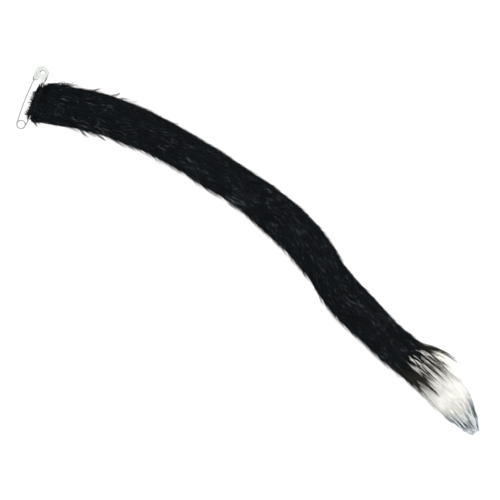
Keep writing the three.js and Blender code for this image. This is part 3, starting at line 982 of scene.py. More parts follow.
@dataclass
class Comb:
    """Plants the hairs of a stretch of pile on the tail and combs them into locks."""

    form: TailForm
    rng: np.random.Generator
    pin: "SafetyPin"
    locks: Locks = Locks(length=26.0, width=12.0, sway=0.14)
    tufts: Locks = Locks(length=7.5, width=2.8, sway=0.14)
    wisps: Locks = Locks(length=4.5, width=0.85, sway=0.12)
    side_shade_shift: float = 0.035  # painted shade: end colours set in earlier at the sides
    floor_gap: float = 0.45  # the least height of a hair's middle over the floor
    root_depth: float = 0.12  # of the roots in the backing, in piles
    last_end: tuple[float, float] = (0.98, 0.997)  # where the tail's last hairs end, of its length
    side_power: int = 4  # the higher it is, the narrower are those sides
    tries: int = 4  # roots drawn for each strand that is wanted
    underside: float = -0.55  # the sine of a root's angle under which it counts as below
    least_around: int = 3  # locks round the tail
    spare_rows: int = 2  # of locks past each end of a stretch
    jitter: float = 0.42  # how far a lock lies off its place in the grid at most, in grid steps
    least_reach: float = 0.72  # of a hair's length before its lock, tuft and wisp add to it
    reach_share: float = 0.2  # what each of them adds at most
    loose_reach: float = 0.3  # and what standing off adds
    late_turn: float = 1.25  # above 1 a hair turns aside ever more towards its end
    rise_power: float = 0.7  # under 1 a hair rises early
    loose_rise: float = 0.6  # how much later it does if it stands off
    draw_scatter: tuple[float, float] = (0.3, 1.7)  # of one hair's chance value about its wisp's
    least_width: float = 0.75  # of a strand, of its stated width
    width_scatter: float = 0.5  # what chance adds to that at most
    shortfall: float = 0.5  # how much shorter than its wisp a trailing hair is at most
    shortfall_power: float = 1.6  # above 1 few of them are that short
    late_start: float = 0.35  # how far along its wisp a trailing hair begins at most
    least_rise: float = 0.85  # of the lowest trailing hairs, in piles
    lift_off: tuple[float, float] = (0.1, 1.8)  # their rise at the root, and its slope from there

    def give_way(self, paths: np.ndarray) -> None:
        """Presses hairs under the pin's arm where it shows, and lifts them over it elsewhere.

        Args:
            paths: the strands' paths, which are changed.
        """
        along = paths[..., 1] - self.pin.origin[1]
        aside = np.abs(paths[..., 0] - self.pin.origin[0] - self.pin.pin_arm(along))
        shows = (along < self.pin.enters_fur) | (along > self.pin.leaves_fur)
        height = paths[..., 2]
        under = self.pin.height - 2 * self.pin.wire_radius
        over = self.pin.height + self.pin.wire_radius + self.pin.cover
        over -= np.maximum(aside - self.pin.parting, 0) * self.pin.cover_fall
        pressed = np.where(shows & (aside < self.pin.parting), np.minimum(height, under), height)
        hides = ~shows & (height > under / 2) & (aside < self.pin.cover_reach * self.pin.parting)
        hides[:, 0] = False
        paths[..., 2] = np.where(hides, np.maximum(height, over), pressed)

    def roots(self, pile: Pile) -> tuple[np.ndarray, np.ndarray]:
        """Scatters the hairs' roots.

        Args:
            pile: the stretch of pile.

        Returns:
            The distance and the angle of each root.
        """
        tries = pile.strands * self.tries
        share = self.rng.random(tries) ** pile.thinning
        angle = self.rng.uniform(0, TURN, tries)
        aside = np.cos(angle) ** 2
        first, last = pile.start + pile.start_run * aside, pile.end + pile.end_run * aside
        distance = first + (last - first) * share
        under = np.sin(angle) < self.underside
        half_width, half_height, _, _ = self.form.halves(distance)
        girth = (half_width + half_height) / (half_width + half_height).max()
        keep = self.rng.random(tries) < np.where(under, pile.under_share, 1.0) * girth
        chosen = np.flatnonzero(keep)[: pile.strands]
        return distance[chosen], angle[chosen]

    def nearest(
        self, locks: Locks, distance: np.ndarray, angle: np.ndarray
    ) -> dict[str, np.ndarray]:
        """Finds the lock or tuft that each hair falls into.

        Args:
            locks: the size of the locks.
            distance: the roots' distances.
            angle: the roots' angles.

        Returns:
            Each hair's lock: its distance and angle, and its reach, sway, stand and tone, 0 to 1.
        """
        around = max(round(self.form.girth / locks.width), self.least_around)
        first = math.floor(distance.min() / locks.length) - self.spare_rows
        rows = math.ceil(distance.max() / locks.length) + self.spare_rows + 1 - first
        jitter = self.rng.uniform(-self.jitter, self.jitter, (rows, around, 2))
        traits = self.rng.random((rows, around, 4))
        row = np.floor(distance / locks.length).astype(int) - first
        best = np.full(len(distance), np.inf)
        lock_at = np.zeros((len(distance), 2))
        picked = np.zeros((len(distance), 4))
        for near_row in (-1, 0, 1):
            r = np.clip(row + near_row, 0, rows - 1)
            odd = 0.5 * (r % 2)
            place = np.floor(angle / TURN * around - odd).astype(int)
            for near_place in (-1, 0, 1):
                p = (place + near_place) % around
                shift = jitter[r, p]
                at = np.stack(
                    [
                        (r + first + 0.5 + shift[:, 0]) * locks.length,
                        (place + near_place + 0.5 + odd + shift[:, 1]) / around * TURN,
                    ],
                    axis=1,
                )
                gap = ((at[:, 0] - distance) / locks.length) ** 2
                gap += ((at[:, 1] - angle) / TURN * around) ** 2
                closer = gap < best
                best = np.where(closer, gap, best)
                lock_at = np.where(closer[:, None], at, lock_at)
                picked = np.where(closer[:, None], traits[r, p], picked)
        names = ("reach", "sway", "stand", "tone")
        found = {name: picked[:, k] for k, name in enumerate(names)}
        return found | {"distance": lock_at[:, 0], "angle": lock_at[:, 1]}

    def comb(self, pile: Pile) -> StrandBundle:
        """Combs a stretch of pile into strands.

        Args:
            pile: the stretch of pile.

        Returns:
            The strands.
        """
        distance, angle = self.roots(pile)
        count = len(distance)
        lock, tuft, wisp = (
            self.nearest(size, distance, angle) for size in (self.locks, self.tufts, self.wisps)
        )
        loose = self.rng.normal(0, 1, (count, 2))
        off = np.maximum(wisp["stand"] - 1 + pile.loose_share, 0) / pile.loose_share
        reach = np.full(count, self.least_reach)
        turned = loose[:, 0] * pile.splay
        for size, group in ((self.locks, lock), (self.tufts, tuft), (self.wisps, wisp)):
            reach += self.reach_share * group["reach"]
            turned += (group["sway"] - 0.5) * 2 * size.sway
        reach *= pile.length
        reach *= (1 + pile.uneven * self.rng.uniform(-1, 1, count)) * (1 + self.loose_reach * off)
        half_width, half_height, depth, _ = self.form.halves(distance)
        radius = (half_width + half_height) / 2 + depth
        ends = distance + reach * np.cos(turned)
        end_angle = angle + reach * np.sin(turned) / radius
        for group, share in ((tuft, pile.gather), (wisp, pile.cling)):
            ends += (group["distance"] - distance) * share
            end_angle += (group["angle"] - angle) * share
        last = self.rng.uniform(*self.last_end, count) * self.form.length
        ends = np.minimum(ends, last)
        ruffled = 1 + pile.ruffle * np.maximum(-np.cos(angle), 0)
        stand = pile.lift * (1 - pile.relief * (1 - (lock["stand"] + tuft["stand"]) / 2))
        stand += (np.abs(loose[:, 1]) * pile.stray + off * pile.loose) * ruffled
        t = np.linspace(0, 1, pile.points)[None, :]
        distances = distance[:, None] + (ends - distance)[:, None] * t
        angles = angle[:, None] + (end_angle - angle)[:, None] * t**self.late_turn
        rise = t ** (self.rise_power + self.loose_rise * off)[:, None]
        lifts = -self.root_depth + (stand + self.root_depth)[:, None] * rise
        draw = wisp["tone"] * self.rng.uniform(*self.draw_scatter, count)
        return self.bundle(distances, angles, lifts, pile.width, tuft["tone"], draw)

    def bundle(
        self,
        distances: np.ndarray,
        angles: np.ndarray,
        lifts: np.ndarray,
        width: float | np.ndarray,
        tone: np.ndarray,
        draw: np.ndarray,
    ) -> StrandBundle:
        """Lays strands over the tail.

        Args:
            distances: strands, places along the tail of each.
            angles: the same, round it.
            lifts: the same, over the backing in piles.
            width: of a strand as drawn, for all of them or for each.
            tone: of each strand, 0 to 1.
            draw: each strand's chance value, 0 to 1.

        Returns:
            The strands.
        """
        paths = self.form.over(distances, angles, lifts)
        self.give_way(paths)
        paths[..., 2] = np.maximum(paths[..., 2], self.floor_gap)
        widths = width * (self.least_width + self.width_scatter * self.rng.random(len(paths)))
        outward = self.form.outward(distances[:, 0], angles[:, 0])
        # Painted shade: the end's colours set in earlier at the tail's sides.
        aside = np.cos(angles[:, -1]) ** self.side_power
        greying = distances[:, -1] / self.form.length + self.side_shade_shift * aside
        return StrandBundle(paths, outward, widths, greying, tone, draw)

    def trail(self, wisps: tuple[Wisp, ...], points: int = 5) -> StrandBundle:
        """Lays loose locks along their own paths.

        Args:
            wisps: the locks.
            points: of each strand's path.

        Returns:
            The strands.
        """
        t = np.linspace(0, 1, points)[None, :]
        distances, angles, lifts = [], [], []
        for wisp in wisps:
            stops = np.linspace(0, 1, len(wisp.distances))
            each = (wisp.hairs, 1)
            reach = 1 - self.shortfall * self.rng.random(each) ** self.shortfall_power
            start = self.rng.uniform(0, self.late_start, each)
            share = start + (reach - start) * t
            order = len(stops) - 1
            along = np.polyval(np.polyfit(stops, wisp.distances, order), share)
            narrowing = 1 - share * (1 - wisp.spread_end)
            aside = self.rng.normal(0, wisp.spread, each) * narrowing
            left = np.polyval(np.polyfit(stops, wisp.lefts, order), share) + aside
            half_width, _, pile, _ = self.form.halves(along)
            cosine = left / (half_width + pile)
            distances.append(along)
            angles.append(np.arccos(np.clip(cosine, -1, 1)))
            over = np.maximum(np.abs(left) - half_width - pile, 0) / pile
            rise = self.rng.uniform(self.least_rise, wisp.rise, each)
            lifts.append((rise + over) * np.minimum(self.lift_off[0] + self.lift_off[1] * t, 1))
        counts = [wisp.hairs for wisp in wisps]
        tone = self.rng.random(sum(counts))
        draw, width = (
            np.repeat([getattr(wisp, name) for wisp in wisps], counts) for name in ("draw", "width")
        )
        stacked = [np.concatenate(part) for part in (distances, angles, lifts)]
        return self.bundle(*stacked, width, tone, draw)


@dataclass
class FurPiece:
    """A stretch of backing cloth with its pile, in one colour."""

    form: TailForm
    comb: Comb
    colour: Colour
    start: float
    end: float
    piles: dict[str, Pile]
    wisps: dict[str, tuple[Wisp, ...]]
    ring_gap: float = 4.0
    sides: int = 48
    fill: float = 0.7
    floor_gap: float = 0.05

    def backing(self) -> bpy.types.Object:
        """Builds the closed skin under the pile.

        Returns:
            The skin.
        """
        rings = max(round((self.end - self.start) / self.ring_gap), 2)
        distance = np.linspace(self.start, self.end, rings)[:, None] + np.zeros((1, self.sides))
        angle = np.arange(self.sides)[None, :] / self.sides * TURN + np.zeros((rings, 1))
        points = self.form.over(distance, angle, np.zeros_like(distance))
        points[..., 2] = np.maximum(points[..., 2], self.floor_gap)
        name = f"{self.colour.value}_backing"
        mesh = mesh_from(name, points.reshape(-1, 3), loft_triangles(rings, self.sides))
        return new_object(name, mesh, BACKINGS[self.colour].material())

    def build(self) -> None:
        """Builds and dresses the skin and every stretch of pile."""
        skin = settle(self.backing(), NODES[self.colour])
        material = PILES[self.colour].material()
        bundles = {name: self.comb.comb(pile) for name, pile in self.piles.items()}
        bundles |= {name: self.comb.trail(wisps) for name, wisps in self.wisps.items()}
        for name, strands in bundles.items():
            settle(strands.build(name, material), NODES[self.colour])


@dataclass
class SafetyPin:
    """The closed safety pin: one spring wire and a folded sheet cap."""

    origin: tuple[float, float]  # the coil's centre in the part's frame
    height: float = 10.0
    wire_radius: float = 0.55
    coil_radius: float = 3.6
    coil_pitch: float = 1.4
    arm_reach: float = 46.5
    arm_bow: float = 2.1
    back_bow: float = 0.9
    point_length: float = 5.0
    point_radius: float = 0.04
    sheet: float = 0.45
    clearance: float = 0.3
    cap_width: float = 11.6
    cap_left: float = -3.8
    cap_mouth: float = 40.2
    cap_top: float = 54.0
    guard_drop: float = 0.8
    guard_shoulder: float = 3.2
    back_leg_width: float = 4.7
    back_arm_in_cap: float = 8.0
    notch_rise: float = 5.0
    window_radius: float = 2.1
    window_shift: float = 0.6
    window_sill: float = 0.9
    window_flare: float = 1.35
    fold_radius: float = 0.8
    crease: float = 35.0  # degrees. A sharper edge stays an edge
    enters_fur: float = 10.7  # where the fur hides the pin arm, along it from the coil's centre
    leaves_fur: float = 36.6
    parting: float = 1.7  # how far to each side the fur gives way outside of that
    cover: float = 0.5  # how high the fur lies over it between them
    cover_fall: float = 0.25  # how much lower it lies for each millimetre aside
    cover_reach: float = 4.0  # how far aside it does, in partings
    wire_sides: int = 16
    arm_steps: int = 40
    coil_steps: int = 48  # for each turn
    arc_steps: int = 24
    point_steps: int = 5
    fold_steps: int = 3
    seat_room: float = 3.0  # from the guard's inside to the pin arm's middle, in wire radii
    overcut: float = 2.0  # how far the cavity is cut on past the mouth
    skim: float = 0.05  # and the window past both faces of the sheet
    level: float = 1e-4  # the most that an edge climbs which lies flat

    @property
    def cap_right(self) -> float:
        """Gives the cap's guard side, across the pin."""
        return self.cap_left + self.cap_width

    @property
    def cap_middle(self) -> float:
        """Gives the middle of the cap, across the pin."""
        return self.cap_left + self.cap_width / 2

    @property
    def arch_foot(self) -> float:
        """Gives where the cap's round top begins, along the pin."""
        return self.cap_top - self.cap_width / 2

    @property
    def back_arm_seat(self) -> float:
        """Gives where the back arm lies in the cap, across the pin."""
        return self.cap_left + self.sheet + self.clearance + self.wire_radius

    @property
    def pin_arm_seat(self) -> float:
        """Gives where the pin arm's point lies in the cap, across the pin."""
        return self.cap_right - self.sheet - self.seat_room * self.wire_radius

    def pin_arm(self, along: np.ndarray) -> np.ndarray:
        """Gives how far across the pin the pin arm lies at distances along it."""
        share = along / self.arm_reach
        straight = self.coil_radius + (self.pin_arm_seat - self.coil_radius) * share
        return straight + self.arm_bow * np.sin(math.pi * share)

    def back_arm(self, along: np.ndarray) -> np.ndarray:
        """Gives how far across the pin the back arm lies at distances along it."""
        share = np.minimum(along / self.cap_mouth, 1)
        straight = -self.coil_radius + (self.back_arm_seat + self.coil_radius) * share
        return straight - self.back_bow * np.sin(math.pi * share)

    def wire_path(self) -> tuple[np.ndarray, np.ndarray]:
        """Walks the wire from its end in the cap, round the coil and out to its point.

        Returns:
            The path in the part's frame and the wire's radius at each place.
        """
        pin_swing = self.pin_arm_seat - self.coil_radius + math.pi * self.arm_bow
        back_swing = self.back_arm_seat + self.coil_radius - math.pi * self.back_bow
        first = math.pi - math.atan(back_swing / self.cap_mouth)
        last = 2 * TURN - math.atan(pin_swing / self.arm_reach)
        half_rise = (last - first) / TURN * self.coil_pitch / 2
        back = np.linspace(self.cap_mouth + self.back_arm_in_cap, 0, self.arm_steps + 1)[:-1]
        shank = self.arm_reach - self.point_length
        front = np.linspace(0, shank, self.arm_steps + 1)[1:]
        point = np.linspace(shank, self.arm_reach, self.point_steps + 1)[1:]
        front = np.concatenate([front, point])
        turn = np.linspace(first, last, round((last - first) / TURN * self.coil_steps))
        fall = np.linspace(half_rise, -half_rise, len(turn))
        rise_back = half_rise * np.maximum(1 - back / self.cap_mouth, 0)
        rise_front = half_rise * np.maximum(1 - front / self.cap_mouth, 0)
        circle = self.coil_radius * np.cos(turn), self.coil_radius * np.sin(turn)
        parts = [
            np.stack([self.back_arm(back), back, rise_back], axis=1),
            np.stack([*circle, fall], axis=1),
            np.stack([self.pin_arm(front), front, -rise_front], axis=1),
        ]
        path = np.vstack(parts)
        left = np.concatenate([np.full(len(path) - len(front), np.inf), self.arm_reach - front])
        radius = np.interp(left, [0, self.point_length], [self.point_radius, self.wire_radius])
        return path + np.array([*self.origin, self.height]), radius

    def wire(self) -> bpy.types.Object:
        """Builds the wire.

        Returns:
            The wire.
        """
        path, radius = self.wire_path()
        ahead = np.gradient(path, axis=0)
        ahead /= np.linalg.norm(ahead, axis=1, keepdims=True)
        across = np.cross([0, 0, 1], ahead)
        across /= np.linalg.norm(across, axis=1, keepdims=True)
        over = np.cross(ahead, across)
        angle = np.arange(self.wire_sides) / self.wire_sides * TURN
        cosine, sine = np.cos(angle)[None, :, None], np.sin(angle)[None, :, None]
        ring = cosine * across[:, None] + sine * over[:, None]
        points = path[:, None] + ring * radius[:, None, None]
        faces = loft_triangles(len(path), self.wire_sides)
        mesh = mesh_from("pin_wire", points.reshape(-1, 3), faces)
        return new_object("pin_spring_wire", mesh, WIRE_PLATE.material())

    def round_top(self, middle: float, radius: float) -> list[tuple[float, float]]:
        """Draws a half circle that stands on the arch's foot.

        Args:
            middle: where its middle is, across the pin.
            radius: its radius.

        Returns:
            Its corners, anticlockwise.
        """
        turn = np.linspace(0, math.pi, self.arc_steps + 1)
        foot = self.arch_foot
        return [(middle + radius * math.cos(a), foot + radius * math.sin(a)) for a in turn]

    def arch(self, inset: float, foot: float) -> list[tuple[float, float]]:
        """Draws the cap's arch with straight sides.

        Args:
            inset: how far it is drawn in from the cap's edge.
            foot: how far down it goes, along the pin.

        Returns:
            Its corners, anticlockwise.
        """
        top = self.round_top(self.cap_middle, self.cap_width / 2 - inset)
        return [(self.cap_left + inset, foot), (self.cap_right - inset, foot), *top]

    def outline(self) -> list[tuple[float, float]]:
        """Draws the cap seen flat: the arch, a rounded back leg, a notch and a pointed guard leg.

        Returns:
            Its corners, anticlockwise.
        """
        guard = self.cap_mouth - self.guard_drop
        tip = (float(self.pin_arm(np.array([guard]))[0]), guard)
        shoulder = (self.cap_right, self.cap_mouth + self.guard_shoulder)
        steps = np.linspace(0, 1, self.arc_steps // 2 + 1)
        notch = self.cap_left + self.back_leg_width
        corner = (self.cap_left + self.back_leg_width / 2, self.cap_mouth)
        curve = [
            (
                (1 - s) ** 2 * corner[0] + (2 * s * (1 - s) + s * s) * notch,
                self.cap_mouth + s * s * self.notch_rise,
            )
            for s in steps
        ]
        return [tip, shoulder, *self.arch(0, 0)[2:], (self.cap_left, self.cap_mouth), *curve]

    def slab(
        self,
        name: str,
        corners: list[tuple[float, float]],
        low: float,
        high: float,
        fold: float = 0,
        flare: float = 1,
    ) -> bpy.types.Object:
        """Makes a flat shape solid between two heights.

        Args:
            name: the solid's name.
            corners: the shape's corners across and along the pin, anticlockwise.
            low: the lower height, counted from the plane of the pin.
            high: the upper one.
            fold: the radius that its rims are rounded to.
            flare: how much larger the upper shape is than the lower one, from its last corner.

        Returns:
            The solid.
        """
        form = bmesh.new()
        rims = []
        shape = np.array(corners)
        middle = shape[-1]
        for z, size in ((low, 1), (high, flare)):
            flat = middle + (shape - middle) * size + np.array(self.origin)
            rims.append([form.verts.new([x, y, self.height + z]) for x, y in flat])
        form.faces.new(rims[0][::-1])
        form.faces.new(rims[1])
        for i in range(len(corners)):
            j = (i + 1) % len(corners)
            form.faces.new([rims[0][i], rims[0][j], rims[1][j], rims[1][i]])
        if fold:
            climbs = [(edge, edge.verts[0].co.z - edge.verts[1].co.z) for edge in form.edges]
            flat = [edge for edge, climb in climbs if abs(climb) < self.level]
            bmesh.ops.bevel(
                form, geom=flat, offset=fold, segments=self.fold_steps, profile=0.5, affect="EDGES"
            )
        bmesh.ops.scale(form, vec=(METRES, METRES, METRES), verts=form.verts)
        mesh = bpy.data.meshes.new(name)
        form.to_mesh(mesh)
        form.free()
        return add_object(name, mesh)

    def cap(self) -> bpy.types.Object:
        """Builds the cap, hollow for the wire and open at its mouth and window.

        Returns:
            The cap.
        """
        inside = self.wire_radius + self.clearance
        outside = inside + self.sheet
        body = self.slab("cap_body", self.outline(), -outside, outside, self.fold_radius)
        middle = self.cap_middle + self.window_shift
        window = self.round_top(middle, self.window_radius)
        window.append((middle, self.arch_foot - self.window_sill))
        cavity = self.arch(self.sheet, self.cap_mouth - self.overcut)
        low, high = inside - self.skim, outside + self.skim
        cuts = [
            self.slab("cavity", cavity, -inside, inside),
            self.slab("window", window, low, high, flare=self.window_flare),
        ]
        for cut in cuts:
            away = body.modifiers.new(cut.name, "BOOLEAN")
            away.operation = "DIFFERENCE"
            away.solver = "EXACT"
            away.object = cut
        ready = body.evaluated_get(bpy.context.evaluated_depsgraph_get())
        mesh = bpy.data.meshes.new_from_object(ready)
        mesh.name = "pin_cap"
        for spare in (body, *cuts):
            bpy.data.objects.remove(spare)
        self.shade(mesh)
        return new_object("pin_sheet_cap", mesh, SHEET_PLATE.material())

    def shade(self, mesh: bpy.types.Mesh) -> None:
        """Gives the sheet's flats flat normals and its folds round ones.

        Args:
            mesh: the cap's mesh, which is changed.
        """
        limit = math.cos(math.radians(self.crease))
        meeting = [[] for _ in mesh.vertices]
        for face in mesh.polygons:
            for corner in face.vertices:
                meeting[corner].append(face)
        normals = np.zeros((len(mesh.loops), 3))
        for face in mesh.polygons:
            for corner, loop in zip(face.vertices, face.loop_indices):
                near = [other for other in meeting[corner] if face.normal.dot(other.normal) > limit]
                total = sum((np.array(other.normal) * other.area for other in near), np.zeros(3))
                normals[loop] = total / (np.linalg.norm(total) or 1)
        mesh.polygons.foreach_set("use_smooth", np.ones(len(mesh.polygons), dtype=bool))
        mesh.normals_split_custom_set(normals)

    def build(self) -> None:
        """Builds and dresses the wire and the cap."""
        settle(self.wire(), "pin_wire")
        settle(self.cap(), "pin_cap")


@dataclass
class Studio:
    """The pale floor, the soft light and the camera straight above."""

    aim: tuple[float, float] = (-6.96, -1.5)  # what the middle of the picture shows
    roll: float = 19.7  # degrees
    field_width: float = 434.0  # what the picture spans in the plane of the pin
    aim_height: float = 10.0
    distance: float = 1500.0
    sensor: float = 36.0
    floor_side: float = 6000.0
    sky: float = 1.9
    key_watts: float = 4.8
    key_side: float = 1000.0
    key_place: tuple[float, float, float] = (350.0, 500.0, 1300.0)

    def floor(self) -> None:
        """Lays the floor."""
        half = self.floor_side / 2
        corners = [(-half, -half, 0), (half, -half, 0), (half, half, 0), (-half, half, 0)]
        mesh = mesh_from("floor", np.array(corners), np.array([(0, 1, 2), (0, 2, 3)]))
        floor = new_object("floor", mesh, OpalSheet().material())

    def light(self) -> None:
        """Sets a white tent, brightest overhead, and one large soft lamp."""
        world = bpy.data.worlds.new("White tent")
        bpy.context.scene.world = world
        world.use_nodes = True
        world.node_tree.nodes.clear()
        ray = add_node(world.node_tree, "TexCoord")
        height = add_node(world.node_tree, "SeparateXYZ", links={0: ray.outputs["Generated"]})
        tent = add_node(
            world.node_tree,
            "ValToRGB",
            links={0: height.outputs["Z"]},
            stops=((0.0, "#A0A0A0"), (0.45, "#D8D8D8"), (0.85, "#FFFFFF")),
        )
        sky = add_node(world.node_tree, "Background", {"Strength": self.sky}, {"Color": tent})
        add_node(world.node_tree, "OutputWorld", links={"Surface": sky})
        lamp = bpy.data.lights.new("soft_lamp", "AREA")
        lamp.shape = "SQUARE"
        lamp.size = self.key_side * METRES
        lamp.energy = self.key_watts
        holder = add_object("soft_lamp", lamp)
        holder.location = [value * METRES for value in self.key_place]
        holder.rotation_euler = (-holder.location).to_track_quat("-Z", "Y").to_euler()

    def camera(self) -> None:
        """Hangs the camera straight above the tail."""
        lens = bpy.data.cameras.new("camera_above")
        lens.sensor_width = self.sensor
        lens.lens = self.sensor * self.distance / self.field_width
        camera = add_object("camera_above", lens)
        height = self.aim_height + self.distance
        camera.location = [value * METRES for value in (*self.aim, height)]
        camera.rotation_euler = (0, 0, math.radians(self.roll))
        bpy.context.scene.camera = camera

    def build(self) -> None:
        """Builds the floor, the light and the camera."""
        self.floor()
        self.light()
        self.camera()
        bpy.context.scene.view_settings.view_transform = "Standard"


def black_piles(form: TailForm) -> dict[str, Pile]:
    """Divides the black pile into stretches, with the loose hairs over it and at its two ends.

    Args:
        form: the tail's form.

    Returns:
        The stretches by their pieces' names.
    """
    edges = np.linspace(1.0, form.seam - 31, BLACK_STRETCHES + 1)
    piles = {
        f"black_pile_{number + 1}": Pile(
            start=float(edges[number]), end=float(edges[number + 1]),
            end_run=14.0 if number == BLACK_STRETCHES - 1 else 0.0, strands=14600,
        )
        for number in range(BLACK_STRETCHES)
    }
    piles["black_frizz"] = Pile(
        start=4.0, end=form.seam - 22, strands=11500, length=11.0, uneven=0.5, width=0.2,
        gather=0.1, cling=0.3, lift=1.0, loose_share=0.4, loose=0.7, splay=0.45, ruffle=0.3,
    )
    piles["hem_fringe"] = Pile(
        start=0.2, end=9.0, strands=3400, length=4.5, uneven=0.5, width=0.18, gather=0.1, cling=0.4,
        lift=1.5, relief=0.6, loose=1.0, splay=2.4, ruffle=0.4, under_share=0.2,
    )
    piles["trailing_pile"] = Pile(
        start=form.seam - 40, end=form.seam + 4, start_run=8.0, end_run=-2.0, thinning=1.8,
        strands=1500, length=23.0, uneven=0.5, width=0.28, gather=0.15, cling=0.4, lift=0.96,
        loose_share=0.1,
    )
    return piles


def white_piles(form: TailForm) -> dict[str, Pile]:
    """Gives the white pile.

    Args:
        form: the tail's form.

    Returns:
        The white stretch by its piece's name.
    """
    return {
        "white_pile": Pile(
            start=form.seam - 21, start_run=8.0, end=form.length - 8, strands=15000, length=28.0,
            width=0.36, lift=0.86, loose_share=0.08, ruffle=0.6,
        )
    }


# A wisp's places along the tail, its places to the left, its hairs and its spread come first.
BLACK_WISPS = (
    Wisp((396, 410, 428, 443), (11.5, 16, 22, 24.6), 60, 0.8, spread_end=0.6),
    Wisp((396, 408, 420, 432), (10, 13, 15.5, 17), 50, 1.8, spread_end=0.7),
    Wisp((400, 418, 434, 452), (-8.4, -9.7, -8.8, -7.6), 60, 1.6, rise=1.5),
    Wisp((396, 411, 426, 441), (-10, -11.6, -14.3, -17.6), 50, 1.1, rise=1.5),
)
# Thin dark wisps, which run on further on the tail's right, and a few long ones. Their number,
# starts, runs, sides, hairs and spread come first.
BLACK_FIELDS = (
    WispField(34, (398, 410), (12, 26), (-0.2, 0.85), 10, 0.4),
    WispField(28, (402, 416), (16, 28), (-0.85, -0.2), 12, 0.5),
    WispField(24, (402, 412), (24, 42), (-0.5, 0.8), 6, 0.25, rise=1.5),
    WispField(22, (413, 424), (12, 26), (0.2, 0.95), 5, 0.3, width=0.2),
)
# Loose hairs off the tail's edges and round the hem, where they stand off the furthest.
EDGE_WISPS = (
    Wisp((38, 45.5, 52, 59), (-13.5, -17.3, -20.8, -23.2), 17, 0.5, spread_end=0.8, width=0.22),
    Wisp((42, 51, 60, 68), (-13.5, -17.3, -19.1, -20.4), 16, 0.5, spread_end=0.9, width=0.22),
    Wisp((54, 62, 69, 76), (-14.5, -17.9, -20.2, -22.2), 14, 0.5, spread_end=0.9, width=0.2),
    Wisp((70, 79, 87, 95), (-13.8, -16.4, -18.6, -19.6), 15, 0.6, spread_end=0.9, width=0.2),
    Wisp((85, 93, 100, 107), (-14.2, -16.7, -18.7, -20.4), 7, 0.6, spread_end=1.1, width=0.16),
    Wisp((94, 103, 112, 120), (-14, -16.1, -17.1, -18.5), 15, 0.6, spread_end=0.9, width=0.2),
    Wisp((108, 116, 123, 130), (-14, -16, -17.6, -19.6), 13, 0.6, spread_end=0.9, width=0.2),
    Wisp((158, 170, 182, 196), (-12, -15.8, -17.6, -17.6), 14, 0.8, spread_end=0.8),
    Wisp((176, 189, 203, 217), (-11, -14.6, -16.8, -16.6), 18, 0.8, spread_end=0.8),
    Wisp((2, 9, 17, 26), (14, 17.2, 17.8, 17.6), 120, 1.0, spread_end=0.7, width=0.2),
    Wisp((14, 22, 29, 37), (14, 17, 18, 16.2), 80, 1.1, spread_end=0.8, width=0.2),
    Wisp((8, 17, 26, 35), (15, 18, 19, 18.4), 30, 1.2, spread_end=1.2, width=0.12),
    Wisp((22, 30, 37, 44), (15, 19, 18.6, 16), 24, 1.2, spread_end=1.2, width=0.12),
    Wisp((42, 48.8, 54, 58.5), (13.5, 16, 19.4, 22.1), 14, 0.6, spread_end=0.8, width=0.18),
    Wisp((58, 65, 70, 73), (14, 17.2, 20.2, 23.8), 16, 0.6, spread_end=0.8, width=0.18),
    Wisp((64, 72, 79, 86), (14, 16.8, 18.6, 18.8), 13, 0.6, spread_end=0.8, width=0.18),
    Wisp((76, 83, 88, 92), (15, 18.4, 19.8, 19.8), 6, 0.6, spread_end=1.0, width=0.14),
    Wisp((9, 6, 3.5, 1.6), (12, 15, 17, 18), 150, 1.3, spread_end=0.7, width=0.24),
    Wisp((6, 3.5, 1.5, 0), (10, 12.6, 14.6, 16), 170, 1.4, spread_end=0.8, width=0.24),
    Wisp((3, 1, 0, -1.5), (12, 15, 16.5, 17), 14, 1.5, spread_end=1.4, width=0.14),
    Wisp((4, 2, 0.6, -0.7), (8, 10, 12, 13.5), 120, 1.2, spread_end=0.8, width=0.22),
    Wisp((5, 3, 1, -0.3), (-7, -9, -10.8, -12), 120, 1.2, spread_end=0.8, width=0.22),
    Wisp((6, 4, 2, 0.2), (-8, -10.5, -12.4, -13.6), 170, 1.3, spread_end=0.8, width=0.24),
    Wisp((3, 1, -0.5, -2), (-4, -7, -9.5, -11), 24, 1.6, spread_end=1.2, width=0.14),
    Wisp((3, 5.5, 8.5, 11.5), (-12, -15, -18, -21), 12, 0.8, spread_end=0.6),
)
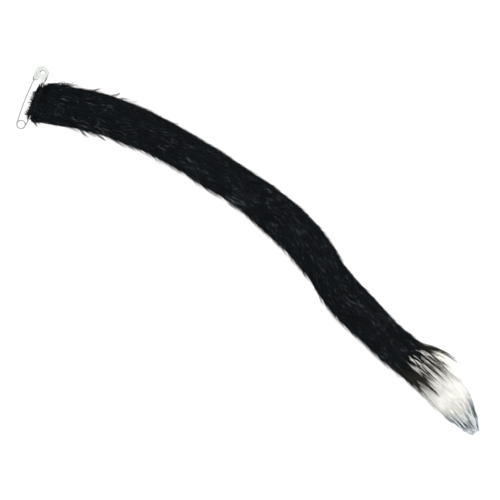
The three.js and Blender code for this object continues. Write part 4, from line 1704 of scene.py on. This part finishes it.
WHITE_WISPS = (
    Wisp((404, 420, 432, 446), (12, 15, 18.2, 19.8), 110, 2.6, spread_end=0.5),
    Wisp((412, 430, 445, 458), (11, 15, 17.5, 17.5), 110, 2.6, spread_end=0.5),
    # Drawn dark: painted shadow between the tip's locks.
    Wisp((459, 469, 478, 488), (13, 11.6, 9.8, 6.6), 46, 0.8, draw=1.0),
    Wisp((459, 466, 473, 481), (-16.2, -15, -13.4, -10.8), 16, 0.9, draw=1.0),
)
# Thin light wisps over the last of the black, and light ones and dark ones at the tail's very end,
# the dark ones painted shadow between its locks.
WHITE_FIELDS = (
    WispField(22, (400, 412), (14, 26), (-0.35, 0.7), 5, 0.25, rise=1.4),
    WispField(78, (460, 479), (12, 19), (-0.9, 0.9), 6, 0.18, draw=1.0),
    WispField(30, (464, 478), (13, 20), (-0.9, 0.9), 6, 0.2, rise=1.4),
)


def main() -> None:
    """Builds the tail, the pin and the studio where the solids lie."""
    logging.basicConfig(level=logging.INFO, format="%(name)s: %(message)s")
    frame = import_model()
    LOG.info("the frame has the solids %s", ", ".join(sorted(frame["nodes"])))
    low_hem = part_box("black_fur_sleeve")[0].x / METRES
    high_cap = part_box("pin_cap")[1].y / METRES
    origin = (low_hem - TailForm.hem_offset, high_cap - SafetyPin.cap_top)
    form = TailForm(origin=origin)
    pin = SafetyPin(origin=origin)
    comb = Comb(form=form, rng=np.random.default_rng(SEED), pin=pin)
    thin_black, thin_white = (
        tuple(wisp for part in fields for wisp in part.scatter(form, comb.rng))
        for fields in (BLACK_FIELDS, WHITE_FIELDS)
    )
    black_wisps = {"black_wisps": BLACK_WISPS + thin_black, "black_edge_wisps": EDGE_WISPS}
    white_wisps = {"white_wisps": WHITE_WISPS + thin_white}
    tip = form.length - form.tip_pile
    FurPiece(form, comb, Colour.BLACK, 0.0, form.seam, black_piles(form), black_wisps).build()
    FurPiece(form, comb, Colour.WHITE, form.seam, tip, white_piles(form), white_wisps).build()
    pin.build()
    Studio().build()


if __name__ == "__main__":
    main()
